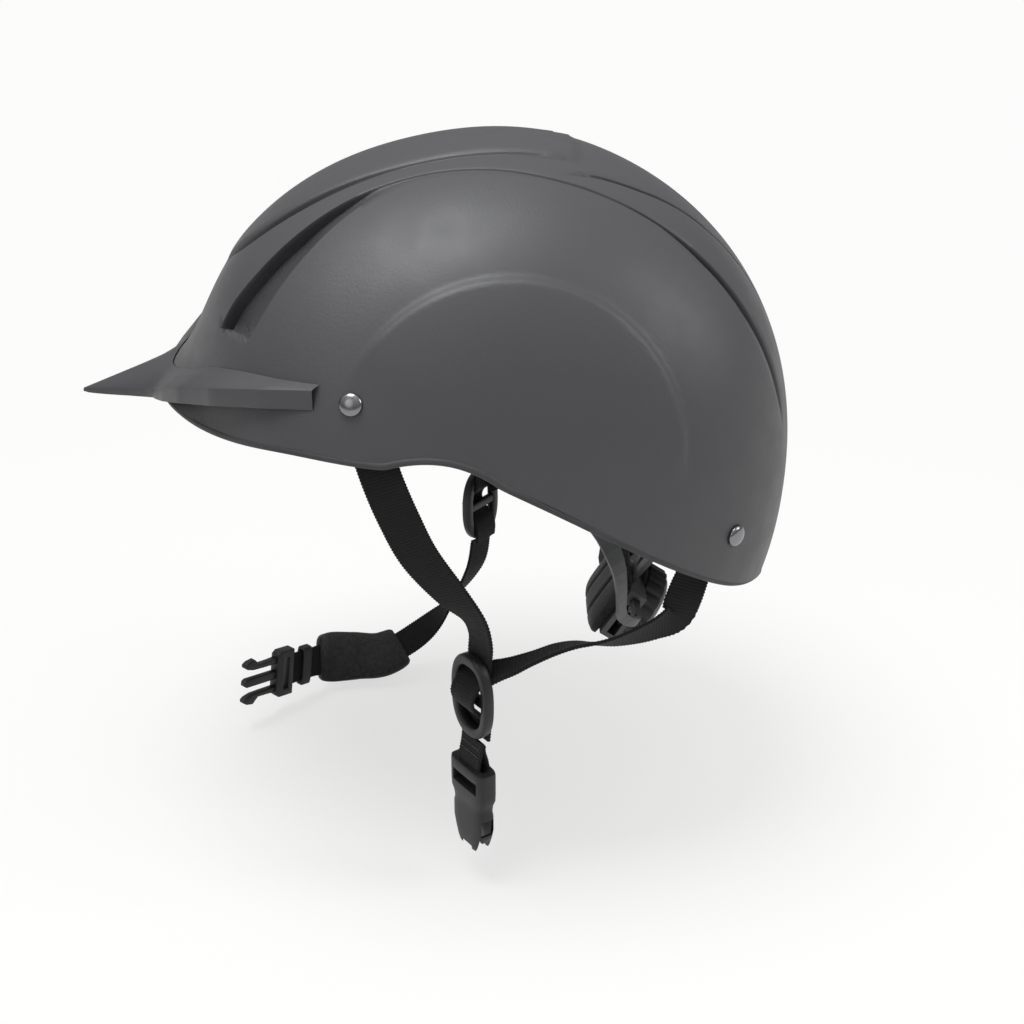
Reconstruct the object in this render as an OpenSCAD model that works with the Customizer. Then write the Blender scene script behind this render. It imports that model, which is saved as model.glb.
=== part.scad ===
// Riding helmet with a moulded shell, a fit dial and a four point harness.
// The front faces -Y, the wearer's left is +X, and +Z is up.
// The origin is the centre of the head opening, level with the rim at the temples.

/* [Shell] */
// Half width of the shell at the temples
shell_half_w = 109; // [105:0.5:113]
// Exponent of the cross section, where 2 is an ellipse
shell_round = 2.45; // [2.3:0.05:2.6]
// Drop of that exponent towards the brow
front_round = 0.3; // [0:0.05:0.35]
// Reach of the crown line from the turning axis at the brow
reach_brow = 104; // [102:0.5:107]
// Reach of the crown line above the forehead
reach_forehead = 118; // [116:0.5:120]
// Reach of the crown line straight up
reach_top = 134.5; // [132:0.5:137]
// Reach of the crown line behind the top
reach_crown = 153.5; // [151:0.5:156]
// Reach of the crown line at the back of the head
reach_back = 161.5; // [159:0.5:164]
// Reach of the crown line at the nape
reach_nape = 154; // [151:0.5:157]
// Wall of the moulded shell
shell_wall = 2.8; // [2.4:0.1:3.2]
// Half angle of the rim at the temples
rim_side = 70; // [68:0.5:71]
// Angle that the shell reaches forward of the temples
rim_front = 80; // [79:0.5:82]
// Angle that the shell reaches behind the temples
rim_back = 84; // [82:0.5:86]

/* [Relief] */
// Rise of the raised crown panel
leaf_rise = 1.4; // [0.8:0.1:1.8]
// Angle round the axis at which the crown panel ends
leaf_end = 117; // [114:0.5:120]
// Depth of the groove beside the crown panel
groove_depth = 2.5; // [1.6:0.1:2.8]
// Depth of the long front recess
slot_depth = 6; // [4:0.25:6.5]
// Depth of the groove that runs down the back
tail_depth = 3; // [2:0.1:3.4]
// Rise of the arch over the ear
arch_rise = 1.8; // [1:0.1:2.4]
// Radius of the arch over the ear
arch_r = 64; // [60:0.5:67]

/* [Peak] */
// Reach of the peak's point ahead of the brow
peak_reach = 26; // [22:0.5:30]
// Half angle of the shell that the peak wraps
peak_wrap = 54; // [51:0.5:55]
// Height of the peak's end face
peak_end_h = 7.5; // [6:0.25:8]
// Thickness of the peak at its point
peak_tip_t = 1.6; // [1.2:0.1:2.4]

/* [Liner and pads] */
// Thickness of the foam liner
foam_t = 22; // [19:0.5:24]
// Thickness of the comfort pads
pad_t = 5; // [3.5:0.25:6]
// Height of the headband
band_h = 17; // [14:0.5:19]
// Thickness of the headband and the fit arms
band_t = 1.6; // [1.3:0.1:2]

/* [Fit dial] */
// Radius of the dial
dial_r = 16.5; // [15:0.25:18]
// Thickness of the dial
dial_t = 10; // [8:0.25:12]
// Backward tilt of the dial's axis
dial_tilt = 123; // [120:0.5:126]
// Teeth of the pinion
pinion_teeth = 12; // [10:2:14]
// Module of the pinion and the racks
gear_module = 1; // [0.95:0.01:1.05]
// Thickness of the pinion and the racks
rack_t = 3; // [2.5:0.1:3.4]
// Radius of the pinion's shaft
shaft_r = 2.5; // [2.2:0.1:2.8]

/* [Harness] */
// Width of the webbing
web_w = 15; // [14:0.25:16]
// Thickness of the webbing
web_t = 1.4; // [1.2:0.1:1.7]
// Radius of a rivet's domed head
rivet_r = 4.2; // [3.8:0.1:4.8]
// Radius of a rivet's shank
shank_r = 1.8; // [1.5:0.1:2.1]
// Height of a strap divider
divider_h = 35; // [32:0.5:38]
// Width of a strap divider
divider_w = 24; // [22:0.5:26]
// Width of the buckle
buckle_w = 23; // [21:0.5:25]
// Thickness of the buckle
buckle_t = 9; // [8:0.25:10]
// Length of the buckle's socket half
socket_len = 38; // [35:0.5:41]

/* [Hidden] */

// Clearance between pieces that lie against each other
gap = 0.3;
// Clearance between the shell and the liner
liner_gap = 0.5;
// The turning axis of the shell's form lies along X through this point
axis_y = -28;
axis_z = -49;
// Angle round the axis at which the shell is widest
mid_angle = 107;
// Exponents of the rim before and behind the temples
rim_front_n = 2.35;
rim_back_n = 3;

// Smooth step from 0 to 1
function ease(t) = let (u = min(1, max(0, t))) u * u * (3 - 2 * u);
function mix(a, b, t) = a + (b - a) * t;
function unit(v) = v / norm(v);

// Slope of a curve through the knots at one of them
function slope(xs, ys, k) =
    let (a = max(0, k - 1), b = min(len(xs) - 1, k + 1)) (ys[b] - ys[a]) / (xs[b] - xs[a]);

// Smooth curve through the knots, level beyond its ends
function curve(xs, ys, x) =
    x <= xs[0] ? ys[0] : x >= xs[len(xs) - 1] ? ys[len(xs) - 1] :
    let (k = max([for (i = [0 : len(xs) - 2]) if (x >= xs[i]) i]),
        w = xs[k + 1] - xs[k], t = (x - xs[k]) / w,
        m0 = slope(xs, ys, k) * w, m1 = slope(xs, ys, k + 1) * w)
    (1 + 2 * t) * pow(1 - t, 2) * ys[k] + t * pow(1 - t, 2) * m0
        + t * t * (3 - 2 * t) * ys[k + 1] + t * t * (t - 1) * m1;

// Straight lines through the knots
function line(xs, ys, x) = lookup(x, [for (i = [0 : len(xs) - 1]) [xs[i], ys[i]]]);

// Crown line, as a reach from the axis at each angle round it
reach_angles = [10, 35, 60, 90, 120, 150, 180, 205];
reaches = [reach_brow + 12, reach_brow, reach_forehead, reach_top, reach_crown, reach_back,
    reach_nape, reach_nape - 7];
function reach(a) = curve(reach_angles, reaches, a);

function roundness(a) = shell_round - front_round * (1 - ease((a - 30) / 50));
function round_factor(side, n) = pow(pow(abs(cos(side)), n) + pow(abs(sin(side)), n), -1 / n);

// Point of the form at an angle round the axis and an angle off the middle, set in by a depth
function form(a, side, depth = 0) =
    let (k = round_factor(side, roundness(a)), r = (reach(a) - depth) * cos(side) * k)
    [(shell_half_w - depth) * sin(side) * k, axis_y - r * cos(a), axis_z + r * sin(a)];

// Outward direction of the form, close to its normal
function out_of(a, side) =
    let (u = form(a + 0.5, side) - form(a - 0.5, side), v = form(a, side + 0.5) - form(a, side - 0.5))
    unit(cross(v, u)) * (cross(v, u) * (form(a, side) - form(a, side, 5)) > 0 ? 1 : -1);

// Half width of the crown panel, in degrees off the middle
function leaf_edge(a) = curve([54, 60, 66, 74, 88, 102, 110, 117], [1.2, 7, 10, 11.5, 12, 11, 10, 9.5], a);
// Line of the groove that closes in behind the crown panel
function tail_edge(a) = curve([116, 119, 126, 135, 148, 160], [16, 14, 11, 6.3, 3.2, 2.6], a);
// Inner edge of the front recess and of the line that runs on from it
function slot_edge(a) =
    curve([35, 52, 57, 64, 70, 76, 82, 88, 96, 105, 115, 130], [19, 29, 28, 27, 25, 22.6, 20.4, 18.6, 17.5, 18,
    19.5, 20], a);
// Width of that recess and line, in degrees
function slot_width(a) =
    line([35, 50, 58, 64, 70, 76, 82, 88, 94, 130, 138, 147, 160, 169, 175], [2, 8.8, 8, 7.2, 6.4, 5.4, 4.2, 2.6,
    1, 0.9, 2.2, 2.6, 2, 0.9, 2], a);
// Depth of that recess and line
function slot_deep(a, side) =
    let (foot = slot_foot + (abs(side) - slot_edge(slot_foot)) * 0.7)
    line([0, 1.2, 24, 35, 42, 48, 77, 85, 93, 110, 117, 119],
        [0, slot_depth, slot_depth, slot_depth * 0.6, 0.9, 0.8, 0.9, tail_depth * 0.7, tail_depth,
        tail_depth * 0.7, 0.2, 0], a - foot);
slot_foot = 52;
function leaf_groove(a) = line([53, 55, 60, 72, 82, 92, leaf_end, leaf_end + 1],
    [0, 0.5, 1, 1, 0.7, 0.4, 0.3, 0], a) * groove_depth;
function leaf_groove_width(a) = line([54, 60, 75, 92, 117], [1, 2.4, 2.2, 1.4, 0.8], a);
function tail_deep(a) = line([115, 117, 126, 136, 148, 158], [0, 0.4, 0.8, 1, 0.7, 0], a) * tail_depth * 0.7;

// Depth of a flat bottomed groove between two edges, with its lips half a degree wide
function groove(side, edge, width, depth) =
    depth * ease(min(side - edge, edge + width - side) / 0.5);

// Depth of all the grooves at a point of the form
function grooves(a, side) = let (s = abs(side)) max([0,
    groove(s, leaf_edge(a), leaf_groove_width(a), leaf_groove(a)),
    groove(s, slot_edge(a), slot_width(a), slot_deep(a, side)),
    a > 115 ? groove(s, tail_edge(a), 1.6, tail_deep(a)) : 0]);

// Rise of the crown panel over the rest of the shell
function leaf(a, side) =
    leaf_rise * ease((leaf_edge(a) + 0.1 - abs(side)) / 0.5) * ease((leaf_end + 0.3 - a) / 1.2)
    * mix(0.55, 1, ease((a - 85) / 30)) * ease((a - 53) / 3);

// Rise of the arch over the ear, which fades towards its ends and its middle
arch_y = 14;
arch_z = -5;
function arch(p, side) =
    let (dy = p[1] - arch_y, dz = p[2] - arch_z, inside = arch_r - norm([dy, dz]), way = atan2(dz, dy))
    arch_rise * ease(inside / 3 + 0.5) * exp(-max(0, inside) / 24) * ease((152 - way) / 20)
    * ease((way + 12) / 20) * ease((abs(side) - 36) / 4);

// Outer and inner surface of the shell
function outside(a, side) = form(a, side, grooves(a, side) - leaf(a, side) - arch(form(a, side), side));
function inside(a, side) = form(a, side, shell_wall + grooves(a, side));

// Angles of the rim before and behind the temples, at an angle off the middle
function rim_part(side, full, n) = pow(max(0, 1 - pow(min(1, abs(side) / full), n)), 1 / n);
function front_rim(side, ahead = rim_front, full = rim_side) =
    mid_angle - ahead * rim_part(side, full, rim_front_n);
function back_rim(side, behind = rim_back, full = rim_side) =
    mid_angle + behind * rim_part(side, full, rim_back_n);

// Columns of the shell's mesh, which follow the edges of the relief
shell_cols_half = [3, 6, 8.6, 9.1, 9.9, 10.4, 14.5, 19, 19.5, 20.5, 21, 27, 34, 40, 44, 48, 51, 54, 57, 60, 63, 66,
    69];
function both_sides(half) = concat([for (i = [len(half) - 1 : -1 : 0]) -half[i]], [0], half);
shell_cols = both_sides(shell_cols_half);
function column_edge(a) = a > 119 ? mix(tail_edge(a), 8.6, ease((a - 150) / 20)) :
    a > 112 ? mix(leaf_edge(112), tail_edge(119), (a - 112) / 7) :
    a < 54 ? mix(8.6, leaf_edge(54), ease((a - 30) / 24)) : leaf_edge(a);
function column_width(a) = a > 115 ? 1.6 : a < 54 ? 1.2 : leaf_groove_width(a);
function column(a, s) =
    let (e1 = column_edge(a), w1 = column_width(a), e2 = slot_edge(a), w2 = slot_width(a))
    sign(s) * line([0, 8.6, 9.1, 9.9, 10.4, 19, 19.5, 20.5, 21, 48, 80],
        [0, e1, e1 + 0.5, e1 + max(0.5, w1 - 0.5), e1 + max(0.6, w1), e2, e2 + 0.4, e2 + max(0.4, w2 - 0.4),
        e2 + w2, 48, 80], abs(s));

// Rows of the shell's mesh, as angles along the middle
function shares(marks) = [for (m = marks) (m - marks[0]) / (marks[len(marks) - 1] - marks[0])];
shell_rows = shares(concat([for (a = [22 : 5 : 112]) a], [leaf_end - 1, leaf_end + 0.5],
    [for (a = [122 : 4.6 : 191]) a]));
foam_cols = both_sides([7, 14, 21, 26, 32, 39, 46, 53, 59, 63, 66]) / 69;
foam_rows = shares([for (a = [22 : 6.76 : 191]) a]);

// Grid of the form, from the front rim to the back rim
function shell_grid(outer) = [for (s = shell_cols) [for (t = shell_rows)
    let (in = outer ? 0 : 0.6, a = mix(front_rim(s, rim_front - in), back_rim(s, rim_back - in), t),
        near = min(1, min(t, 1 - t) * 9), c = mix(s, column(a, s), ease(near)))
    outer ? outside(a, c) : inside(a, c)]];

// Faces over a grid, and the wall between the edges of two grids
function skin(nu, nv, base, flip) = [for (i = [0 : nu - 2], j = [0 : nv - 2])
    let (a = base + i * nv + j, b = a + nv, c = b + 1, d = a + 1)
    each (flip ? [[a, c, b], [a, d, c]] : [[a, b, c], [a, c, d]])];
function edge_loop(nu, nv) = concat([for (i = [0 : nu - 1]) i * nv],
    [for (j = [1 : nv - 1]) (nu - 1) * nv + j], [for (i = [nu - 2 : -1 : 0]) i * nv + nv - 1],
    [for (j = [nv - 2 : -1 : 1]) j]);
function wall(loop, base) = [for (k = [0 : len(loop) - 1])
    let (a = loop[k], b = loop[(k + 1) % len(loop)]) each [[a, b + base, a + base], [a, b, b + base]]];

// Closed solid between an outer and an inner grid
module between(outer, inner) {
    nu = len(outer);
    nv = len(outer[0]);
    points = [for (g = [outer, inner], col = g, p = col) p];
    polyhedron(points, concat(skin(nu, nv, 0, true), skin(nu, nv, nu * nv, false),
        wall(edge_loop(nu, nv), nu * nv)), convexity = 10);
}

// Closed solid swept through rings of points
module swept(rings, closed = false) {
    n = len(rings);
    m = len(rings[0]);
    last = closed ? n - 1 : n - 2;
    sides = [for (i = [0 : last], j = [0 : m - 1])
        let (a = i * m + j, b = i * m + (j + 1) % m, c = ((i + 1) % n) * m)
        each [[a, c + j, b], [b, c + j, c + (j + 1) % m]]];
    caps = closed ? [] : [[for (j = [0 : m - 1]) j], [for (j = [m - 1 : -1 : 0]) (n - 1) * m + j]];
    polyhedron([for (r = rings, p = r) p], concat(sides, caps), convexity = 10);
}

// Smooth path through points chosen by hand
function smooth_path(p, n) = concat([for (i = [0 : len(p) - 2], j = [0 : n - 1])
    let (t = j / n, a = p[max(0, i - 1)], b = p[i], c = p[i + 1], d = p[min(len(p) - 1, i + 2)])
    0.5 * (2 * b + (c - a) * t + (2 * a - 5 * b + 4 * c - d) * t * t + (3 * b - a - 3 * c + d) * t * t * t)],
    [p[len(p) - 1]]);

// Flat strip along a path, where across gives the direction of its width at each point
function strip_ring(p, along, across, w, t) =
    let (u = unit(across - along * (across * along)), n = cross(along, u))
    [p - u * w / 2 - n * t / 2, p + u * w / 2 - n * t / 2, p + u * w / 2 + n * t / 2, p - u * w / 2 + n * t / 2];
module strip(points, across, w, t, n = 4) {
    path = smooth_path(points, n);
    ways = smooth_path(across, n);
    last = len(path) - 1;
    swept([for (i = [0 : last])
        strip_ring(path[i], unit(path[min(last, i + 1)] - path[max(0, i - 1)]), ways[i],
            is_list(w) ? smooth_path(w, n)[i] : w, t)]);
}

// Pad on the form with a crowned face, drawn in at its edges
module crowned_patch(angles, sides, depth, t, nu, nv) {
    plump = function (i, j) pow(max(0, 1 - pow(abs(2 * i / nu - 1), 4)), 0.5)
        * pow(max(0, 1 - pow(abs(2 * j / nv - 1), 4)), 0.5);
    spot = function (i, j, d) form(mix(angles[0], angles[1], j / nv), mix(sides[0], sides[1], i / nu), d);
    between([for (i = [0 : nu]) [for (j = [0 : nv]) spot(i, j, depth)]],
        [for (i = [0 : nu]) [for (j = [0 : nv]) spot(i, j, depth + t * (0.35 + 0.65 * plump(i, j)))]]);
}

// Places of the rivets, as angles round the axis and off the middle
front_rivet = [80.5, 59];
rear_rivet = [177, 39];
module at_rivet(spot, side) {
    p = form(spot[0], spot[1] * side);
    n = out_of(spot[0], spot[1] * side);
    translate(p)
        rotate([0, acos(n[2]), atan2(n[1], n[0])])
            children();
}
module at_rivets(spot) {
    for (side = [1, -1]) at_rivet(spot, side) children();
}

foam_in = shell_wall + liner_gap;
foam_deep = foam_in + foam_t;
// Clearance between the liner and the pads that are stuck to it
pad_gap = 0.7;
washer_r = 7;
washer_t = 1;
washer_z = -(shell_wall + 4.9);

module shell() color("#39393c") difference() {
    between(shell_grid(true), shell_grid(false));
    for (spot = [front_rivet, rear_rivet])
        at_rivets(spot)
            cylinder(r = shank_r + gap, h = 30, center = true, $fn = 24);
}

// Rolled bead that closes the shell's rim
rim_outer = [for (c = shell_grid(true), p = c) p];
rim_inner = [for (c = shell_grid(false), p = c) p];
rim_loop = edge_loop(len(shell_cols), len(shell_rows));
bead_lip = 0.5;
bead_h = 2.8;
module edge_trim() color("#1d1d1f")
    swept([for (k = [0 : len(rim_loop) - 1])
        let (n = len(rim_loop), o = rim_outer[rim_loop[k]], i = rim_inner[rim_loop[k]],
            ahead = rim_outer[rim_loop[(k + 1) % n]] - rim_outer[rim_loop[(k + n - 1) % n]],
            across = unit(o - i), down = unit(cross(unit(ahead), across)),
            top = 0.3, mid = (o + i) / 2, half = norm(o - i) / 2)
        [mid + across * (half + bead_lip) + down * bead_h * 0.7, mid + down * bead_h,
            mid - across * (half + bead_lip) + down * bead_h * 0.7, mid - across * (half + bead_lip) + down * top,
            mid + across * (half + bead_lip) + down * top]], closed = true);

// Peak, as stations from its middle to its wings
peak_x = [0, 0.092, 0.138, 0.184, 0.275, 0.413, 0.569, 0.734, 0.844, 0.885] * shell_half_w;
peak_ahead = [peak_reach, mix(peak_reach, -6, 0.67), -6, -7.5, -10, -15.5, -25, -40.5, -61, -79];
peak_y = [for (ahead = peak_ahead) -reach_brow - ahead];
peak_top_z = [-11, -7.4, -5.6, -3.6, 0.2, 5.8, 12.3, 19, 23.2, 24.6];
peak_seat_z = [3, 3.6, 4.4, 5.4, 8, 12.8, 19.3, 24, 25.2, 25.4];
// Angle round the axis at which the form reaches a height
function angle_at_height(side, z, low = 5, high = 95, n = 18) =
    let (mid = (low + high) / 2)
    n == 0 ? mid : form(mid, side)[2] < z ? angle_at_height(side, z, mid, high, n - 1)
        : angle_at_height(side, z, low, mid, n - 1);
peak_gap = 0.5;
function peak_ring(q) =
    let (side = peak_wrap * q, x = abs(form(90, side)[0]) + 3 * abs(q), xo = sign(q) * x,
        seat = curve(peak_x, peak_seat_z, x), edge = curve(peak_x, peak_top_z, x),
        deep = mix(3, peak_end_h, abs(q)), thin = mix(peak_tip_t, peak_end_h, pow(abs(q), 0.8)),
        y = axis_y + line(peak_x, peak_y, x),
        top = form(angle_at_height(side, seat), side, -peak_gap),
        foot = form(angle_at_height(side, seat - deep), side, -peak_gap), outer = [xo, y, edge],
        back = form(angle_at_height(side, seat - deep / 2), side, -peak_gap),
        crease = mix(top, outer, 0.45) + [0, 0, 1.1 * (1 - abs(q))])
    [top, crease, outer, outer - [0, 0, thin], mix(foot, outer - [0, 0, thin], 0.4) + [0, 0, 0.8], foot, back];
module peak() color("#333336")
    swept([for (i = [-14 : 14]) peak_ring(i / 14)]);

// Liner of pressed foam, lowered under the relief of the shell
function foam_relief(a, side) =
    let (s = abs(side))
    max((groove_depth + 1.6) * ease((33 - s) / 6), (slot_depth + 0.6) * ease((s - 13) / 5)
        * ease((47 - s) / 6) * ease((a - 42) / 5) * ease((100 - a) / 8));
foam_ahead = rim_front - 1.5;
foam_behind = rim_back - 1.5;
foam_side = rim_side - 1.5;
foam_outer = [for (u = foam_cols) [for (t = foam_rows)
    let (s = u * (foam_side - 1.5), a = mix(front_rim(s, foam_ahead, foam_side), back_rim(s, foam_behind, foam_side), t))
    form(a, s, foam_in + foam_relief(a, s))]];
foam_tuck = 6;
foam_inner = [for (u = foam_cols) [for (t = foam_rows)
    let (full = foam_side - foam_tuck, s = u * (full - 1.5),
        a = mix(front_rim(s, foam_ahead - foam_tuck - 1.5, full), back_rim(s, foam_behind, full), t))
    form(a, s, foam_deep)]];

// Strap channels, as angles round the axis and off the middle
front_top = [[76, 85], [57, 71]];
rear_top = [[166, 181], [36, 51]];
strap_depth = foam_in + 0.5;
function grow(range, by) = [range[0] - by, range[1] + by];
module mirrored() {
    children();
    mirror([1, 0, 0]) children();
}
module foam_liner() color("#2a2a2c") difference() {
    between(foam_outer, foam_inner);
    for (spot = [front_rivet, rear_rivet])
        at_rivets(spot)
            translate([0, 0, -11])
                cylinder(r = washer_r + 1.5, h = 21, $fn = 24);
    mirrored() front_top_space();
    mirrored() rear_top_space();
    at_dial() mirrored() upright_end(gap);
    for (a = band_pegs)
        at_peg(a)
            cylinder(r = peg_r + gap, h = 6.6, $fn = 24);
}

module crown_pad() color("#1b1b1c")
    crowned_patch([80, 124], [-20, 20], foam_deep + pad_gap, pad_t, 12, 12);
module side_pad() color("#1b1b1c")
    crowned_patch([78, 126], [36, 54], foam_deep + pad_gap, pad_t, 8, 12);
module side_pad_left() side_pad();
module side_pad_right() mirror([1, 0, 0]) side_pad();

// Headband, an oval strip round the forehead
band_half_w = shell_half_w - foam_t - 13;
band_reach = reach_brow - foam_t - 3;
band_y = -5;
band_mid_z = 5;
band_pegs = [-22, 22];
peg_r = 2.5;
function band_point(a, out) = [(band_half_w + out) * sin(a), band_y - (band_reach + out) * cos(a)];
module at_peg(a) {
    p = band_point(a, -band_t / 2);
    translate([p[0], p[1], band_mid_z])
        rotate([90, 0, atan2(band_reach * sin(a), band_half_w * cos(a))])
            children();
}
function band_ring(a, from, to, low, high) =
    let (i = band_point(a, from), o = band_point(a, to))
    [[i[0], i[1], low], [i[0], i[1], high], [o[0], o[1], high], [o[0], o[1], low]];
module headband() color("#26262a") {
    swept([for (a = [-98 : 7 : 98]) band_ring(a, -band_t, 0, band_mid_z - band_h / 2, band_mid_z + band_h / 2)]);
    for (a = band_pegs)
        at_peg(a)
            cylinder(r = peg_r, h = 6, $fn = 24);
}

// Brow pad, with a crowned face towards the head
module brow_pad() color("#19191a") {
    reach_a = 62;
    steps = 14;
    swept([for (i = [0 : steps])
        let (a = mix(-reach_a, reach_a, i / steps), full = pow(1 - pow(abs(2 * i / steps - 1), 4), 0.5),
            t = pad_t * (0.4 + 0.6 * full), h = band_h / 2 + 2 * full,
            back = band_t + gap)
        [for (c = [[0, -1], [0.7, -0.92], [1, -0.4], [1, 0.4], [0.7, 0.92], [0, 1]])
            let (p = band_point(a, -back - t * c[0])) [p[0], p[1], band_mid_z + h * c[1]]]]);
}

// Frame of the fit dial: Z points out of the dial, X to the wearer's left, Y down and forward
dial_y = 62.5;
dial_z = -103.1;
module at_dial()
    translate([0, dial_y, dial_z])
        rotate([-dial_tilt, 0, 0])
            children();

// Gear geometry, with short teeth of 25 degrees
pressure = 25;
addendum = 0.8 * gear_module;
dedendum = 1.05 * gear_module;
pitch_r = gear_module * pinion_teeth / 2;
pitch = PI * gear_module;
backlash = 0.09;
half_tooth = pitch / 4 - backlash;
base_r = pitch_r * cos(pressure);
function involute(r) = let (a = acos(min(1, base_r / r))) tan(a) * 180 / PI - a;
function tooth_angle(r) =
    half_tooth / pitch_r * 180 / PI + tan(pressure) * 180 / PI - pressure - involute(max(r, base_r));
tooth_radii = [pitch_r - dedendum, base_r, mix(base_r, pitch_r, 0.6), pitch_r, pitch_r + addendum / 2,
    pitch_r + addendum];
module pinion_shape()
    polygon([for (k = [0 : pinion_teeth - 1], s = [-1, 1], i = [0 : len(tooth_radii) - 1])
        let (r = tooth_radii[s < 0 ? i : len(tooth_radii) - 1 - i],
            a = 90 + k * 360 / pinion_teeth + s * tooth_angle(r))
        r * [cos(a), sin(a)]]);

// Rack with its teeth towards the pinion and its back at the guide
rack_back = 2.4;
rack_end = 38;
rack_travel = 12;
rack_tail = -16;
function rack_edge() =
    let (first = ceil((rack_tail + 2) / pitch - 0.5), last = floor((rack_end - 8) / pitch - 0.5),
        root = pitch_r + dedendum, tip = pitch_r - addendum,
        wide = half_tooth + dedendum * tan(pressure), narrow = half_tooth - addendum * tan(pressure))
    [for (k = [first : last], c = [[-wide, root], [-narrow, tip], [narrow, tip], [wide, root]])
        [(k + 0.5) * pitch + c[0], -c[1]]];
module rack()
    translate([0, 0, -rack_t / 2])
        linear_extrude(rack_t)
            polygon(concat(rack_edge(), [[rack_end, -pitch_r - dedendum], [rack_end, -rack_far],
                [rack_tail, -rack_far], [rack_tail, -pitch_r - dedendum]]));
rack_far = pitch_r + dedendum + rack_back;

// Arm that leads from the rack round the side of the head to the temple
arm_mid = (pitch_r + dedendum + rack_far) / 2;
function from_dial(x, y, z) =
    [x, dial_y + y * cos(dial_tilt) + z * sin(dial_tilt), dial_z - y * sin(dial_tilt) + z * cos(dial_tilt)];
function arm_path(side) = let (start = from_dial(rack_end - 0.01, -side * arm_mid, 0))
    concat([start, start + [5, -0.8, 0.6]], [for (p = [[-23, 60, side > 0 ? -89 : -95], [-18, 59, -75],
        [-13.5, 56.5, -60], [-8.5, 48, -40], [-5.5, 31, -20], [-3.8, 10, -5], [-4, -14, 4]]) p + [band_half_w, 0, 0]]);
arm_up = from_dial(0, -1, 0) - from_dial(0, 0, 0);
arm_across = [arm_up, arm_up, [-0.3, 0.5, 0.8], [-0.4, 0.6, 0.6], [-0.4, 0.7, 0.5], [-0.3, 0.6, 0.7],
    [-0.15, 0.4, 0.9], [0, 0.25, 1], [0, 0.1, 1]];
arm_widths = [rack_back, 4, 4.5, 5, 6.5, 8.5, 10, 11, 10];
module fit_arm_left() color("#55565a") {
    at_dial() rack();
    strip(arm_path(1), arm_across, arm_widths, band_t, 3);
}
module fit_arm_right() color("#55565a") {
    at_dial() rotate([0, 0, 180]) rack();
    strip([for (p = arm_path(-1)) [-p[0], p[1], p[2]]], [for (p = arm_across) [-p[0], p[1], p[2]]],
        arm_widths, band_t, 3);
}

// Cradle at the nape: the floor of the rack housing, its guides and an open truss up to the liner
housing_half = 25;
guide_t = 2;
floor_t = 2.2;
housing_h = rack_far + gap + guide_t;
floor_z = -rack_t / 2 - gap;
upright_len = 57;
upright_w = 7;
// Feet of the uprights, which stand off outwards to the liner
foot_len = 8;
stand_off = 9;
module upright_end(grow) {
    translate([19 - grow, -upright_len - grow, floor_z - floor_t - grow])
        cube([upright_w + 2 * grow, foot_len + grow, floor_t + stand_off + 2 * grow]);
}
module bar2d(a, b, w) {
    translate(a) circle(d = w, $fn = 16);
    translate(b) circle(d = w, $fn = 16);
    translate(a)
        rotate(atan2(b[1] - a[1], b[0] - a[0]))
            translate([0, -w / 2])
                square([norm(b - a), w]);
}
module cradle_plan() difference() {
    union() {
        translate([-housing_half, -housing_h]) square([2 * housing_half, 2 * housing_h]);
        circle(r = housing_h + 1.5, $fn = 48);
        for (s = [-1, 1]) {
            bar2d([s * 12, -housing_h], [s * 22, -upright_len + 6], 5);
            bar2d([s * 12, -housing_h], [-s * 8, -36], 3.4);
            bar2d([s * 8, -36], [s * 20, -45], 3.4);
        }
        bar2d([-16, -29], [16, -29], 3.4);
        bar2d([-8, -36], [8, -36], 3.4);
    }
    circle(r = shaft_r + 0.06, $fn = 40);
    for (s = [-1, 1], x = [11, 19])
        translate([s * x, 0]) square([4, 11], center = true);
}
module cradle() color("#6a6b70") at_dial() {
    translate([0, 0, floor_z - floor_t])
        linear_extrude(floor_t)
            cradle_plan();
    mirrored()
        translate([19, -upright_len, floor_z - floor_t])
            cube([upright_w, foot_len, floor_t + stand_off]);
    for (s = [-1, 1])
        translate([-housing_half, s > 0 ? rack_far + gap : -housing_h, floor_z])
            cube([2 * housing_half, guide_t, rack_t + 2 * gap]);
}

cover_z = rack_t / 2 + gap + 0.05;
cover_t = 1.8;
module dial_cover() color("#5c5d62") at_dial()
    translate([0, 0, cover_z])
        linear_extrude(cover_t)
            difference() {
                union() {
                    translate([-housing_half, -housing_h]) square([2 * housing_half, 2 * housing_h]);
                    circle(r = housing_h + 1.5, $fn = 48);
                }
                circle(r = shaft_r + 0.06, $fn = 40);
                for (s = [-1, 1])
                    translate([s * 20, 0]) square([3, 12], center = true);
            }

knob_z = cover_z + cover_t + gap;
tyre_t = 1.8;
module pinion() color("#d8d8d4") at_dial() {
    translate([0, 0, -rack_t / 2])
        linear_extrude(rack_t)
            pinion_shape();
    translate([0, 0, floor_z - floor_t + 0.1])
        cylinder(r = shaft_r, h = knob_z + 4 - floor_z + floor_t, $fn = 40);
}
module dial_knob() color("#6f7075") at_dial() translate([0, 0, knob_z]) difference() {
    union() {
        cylinder(r = dial_r - tyre_t - 0.1, h = dial_t, $fn = 72);
        translate([0, 0, dial_t])
            cylinder(r1 = dial_r - tyre_t - 0.1, r2 = dial_r - tyre_t - 1.6, h = 1.5, $fn = 72);
    }
    translate([0, 0, -1]) cylinder(r = shaft_r + 0.05, h = 5.2, $fn = 40);
    translate([0, 0, dial_t - 0.5]) cylinder(r = dial_r - tyre_t - 5, h = 4, $fn = 64);
    translate([0, 0, 2]) cylinder(r = 1.1, h = dial_t, $fn = 24);
    for (k = [0 : 5])
        rotate([0, 0, k * 60])
            translate([7, 0, dial_t - 3])
                cylinder(r = 1.6, h = 4, $fn = 24);
}
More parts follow.
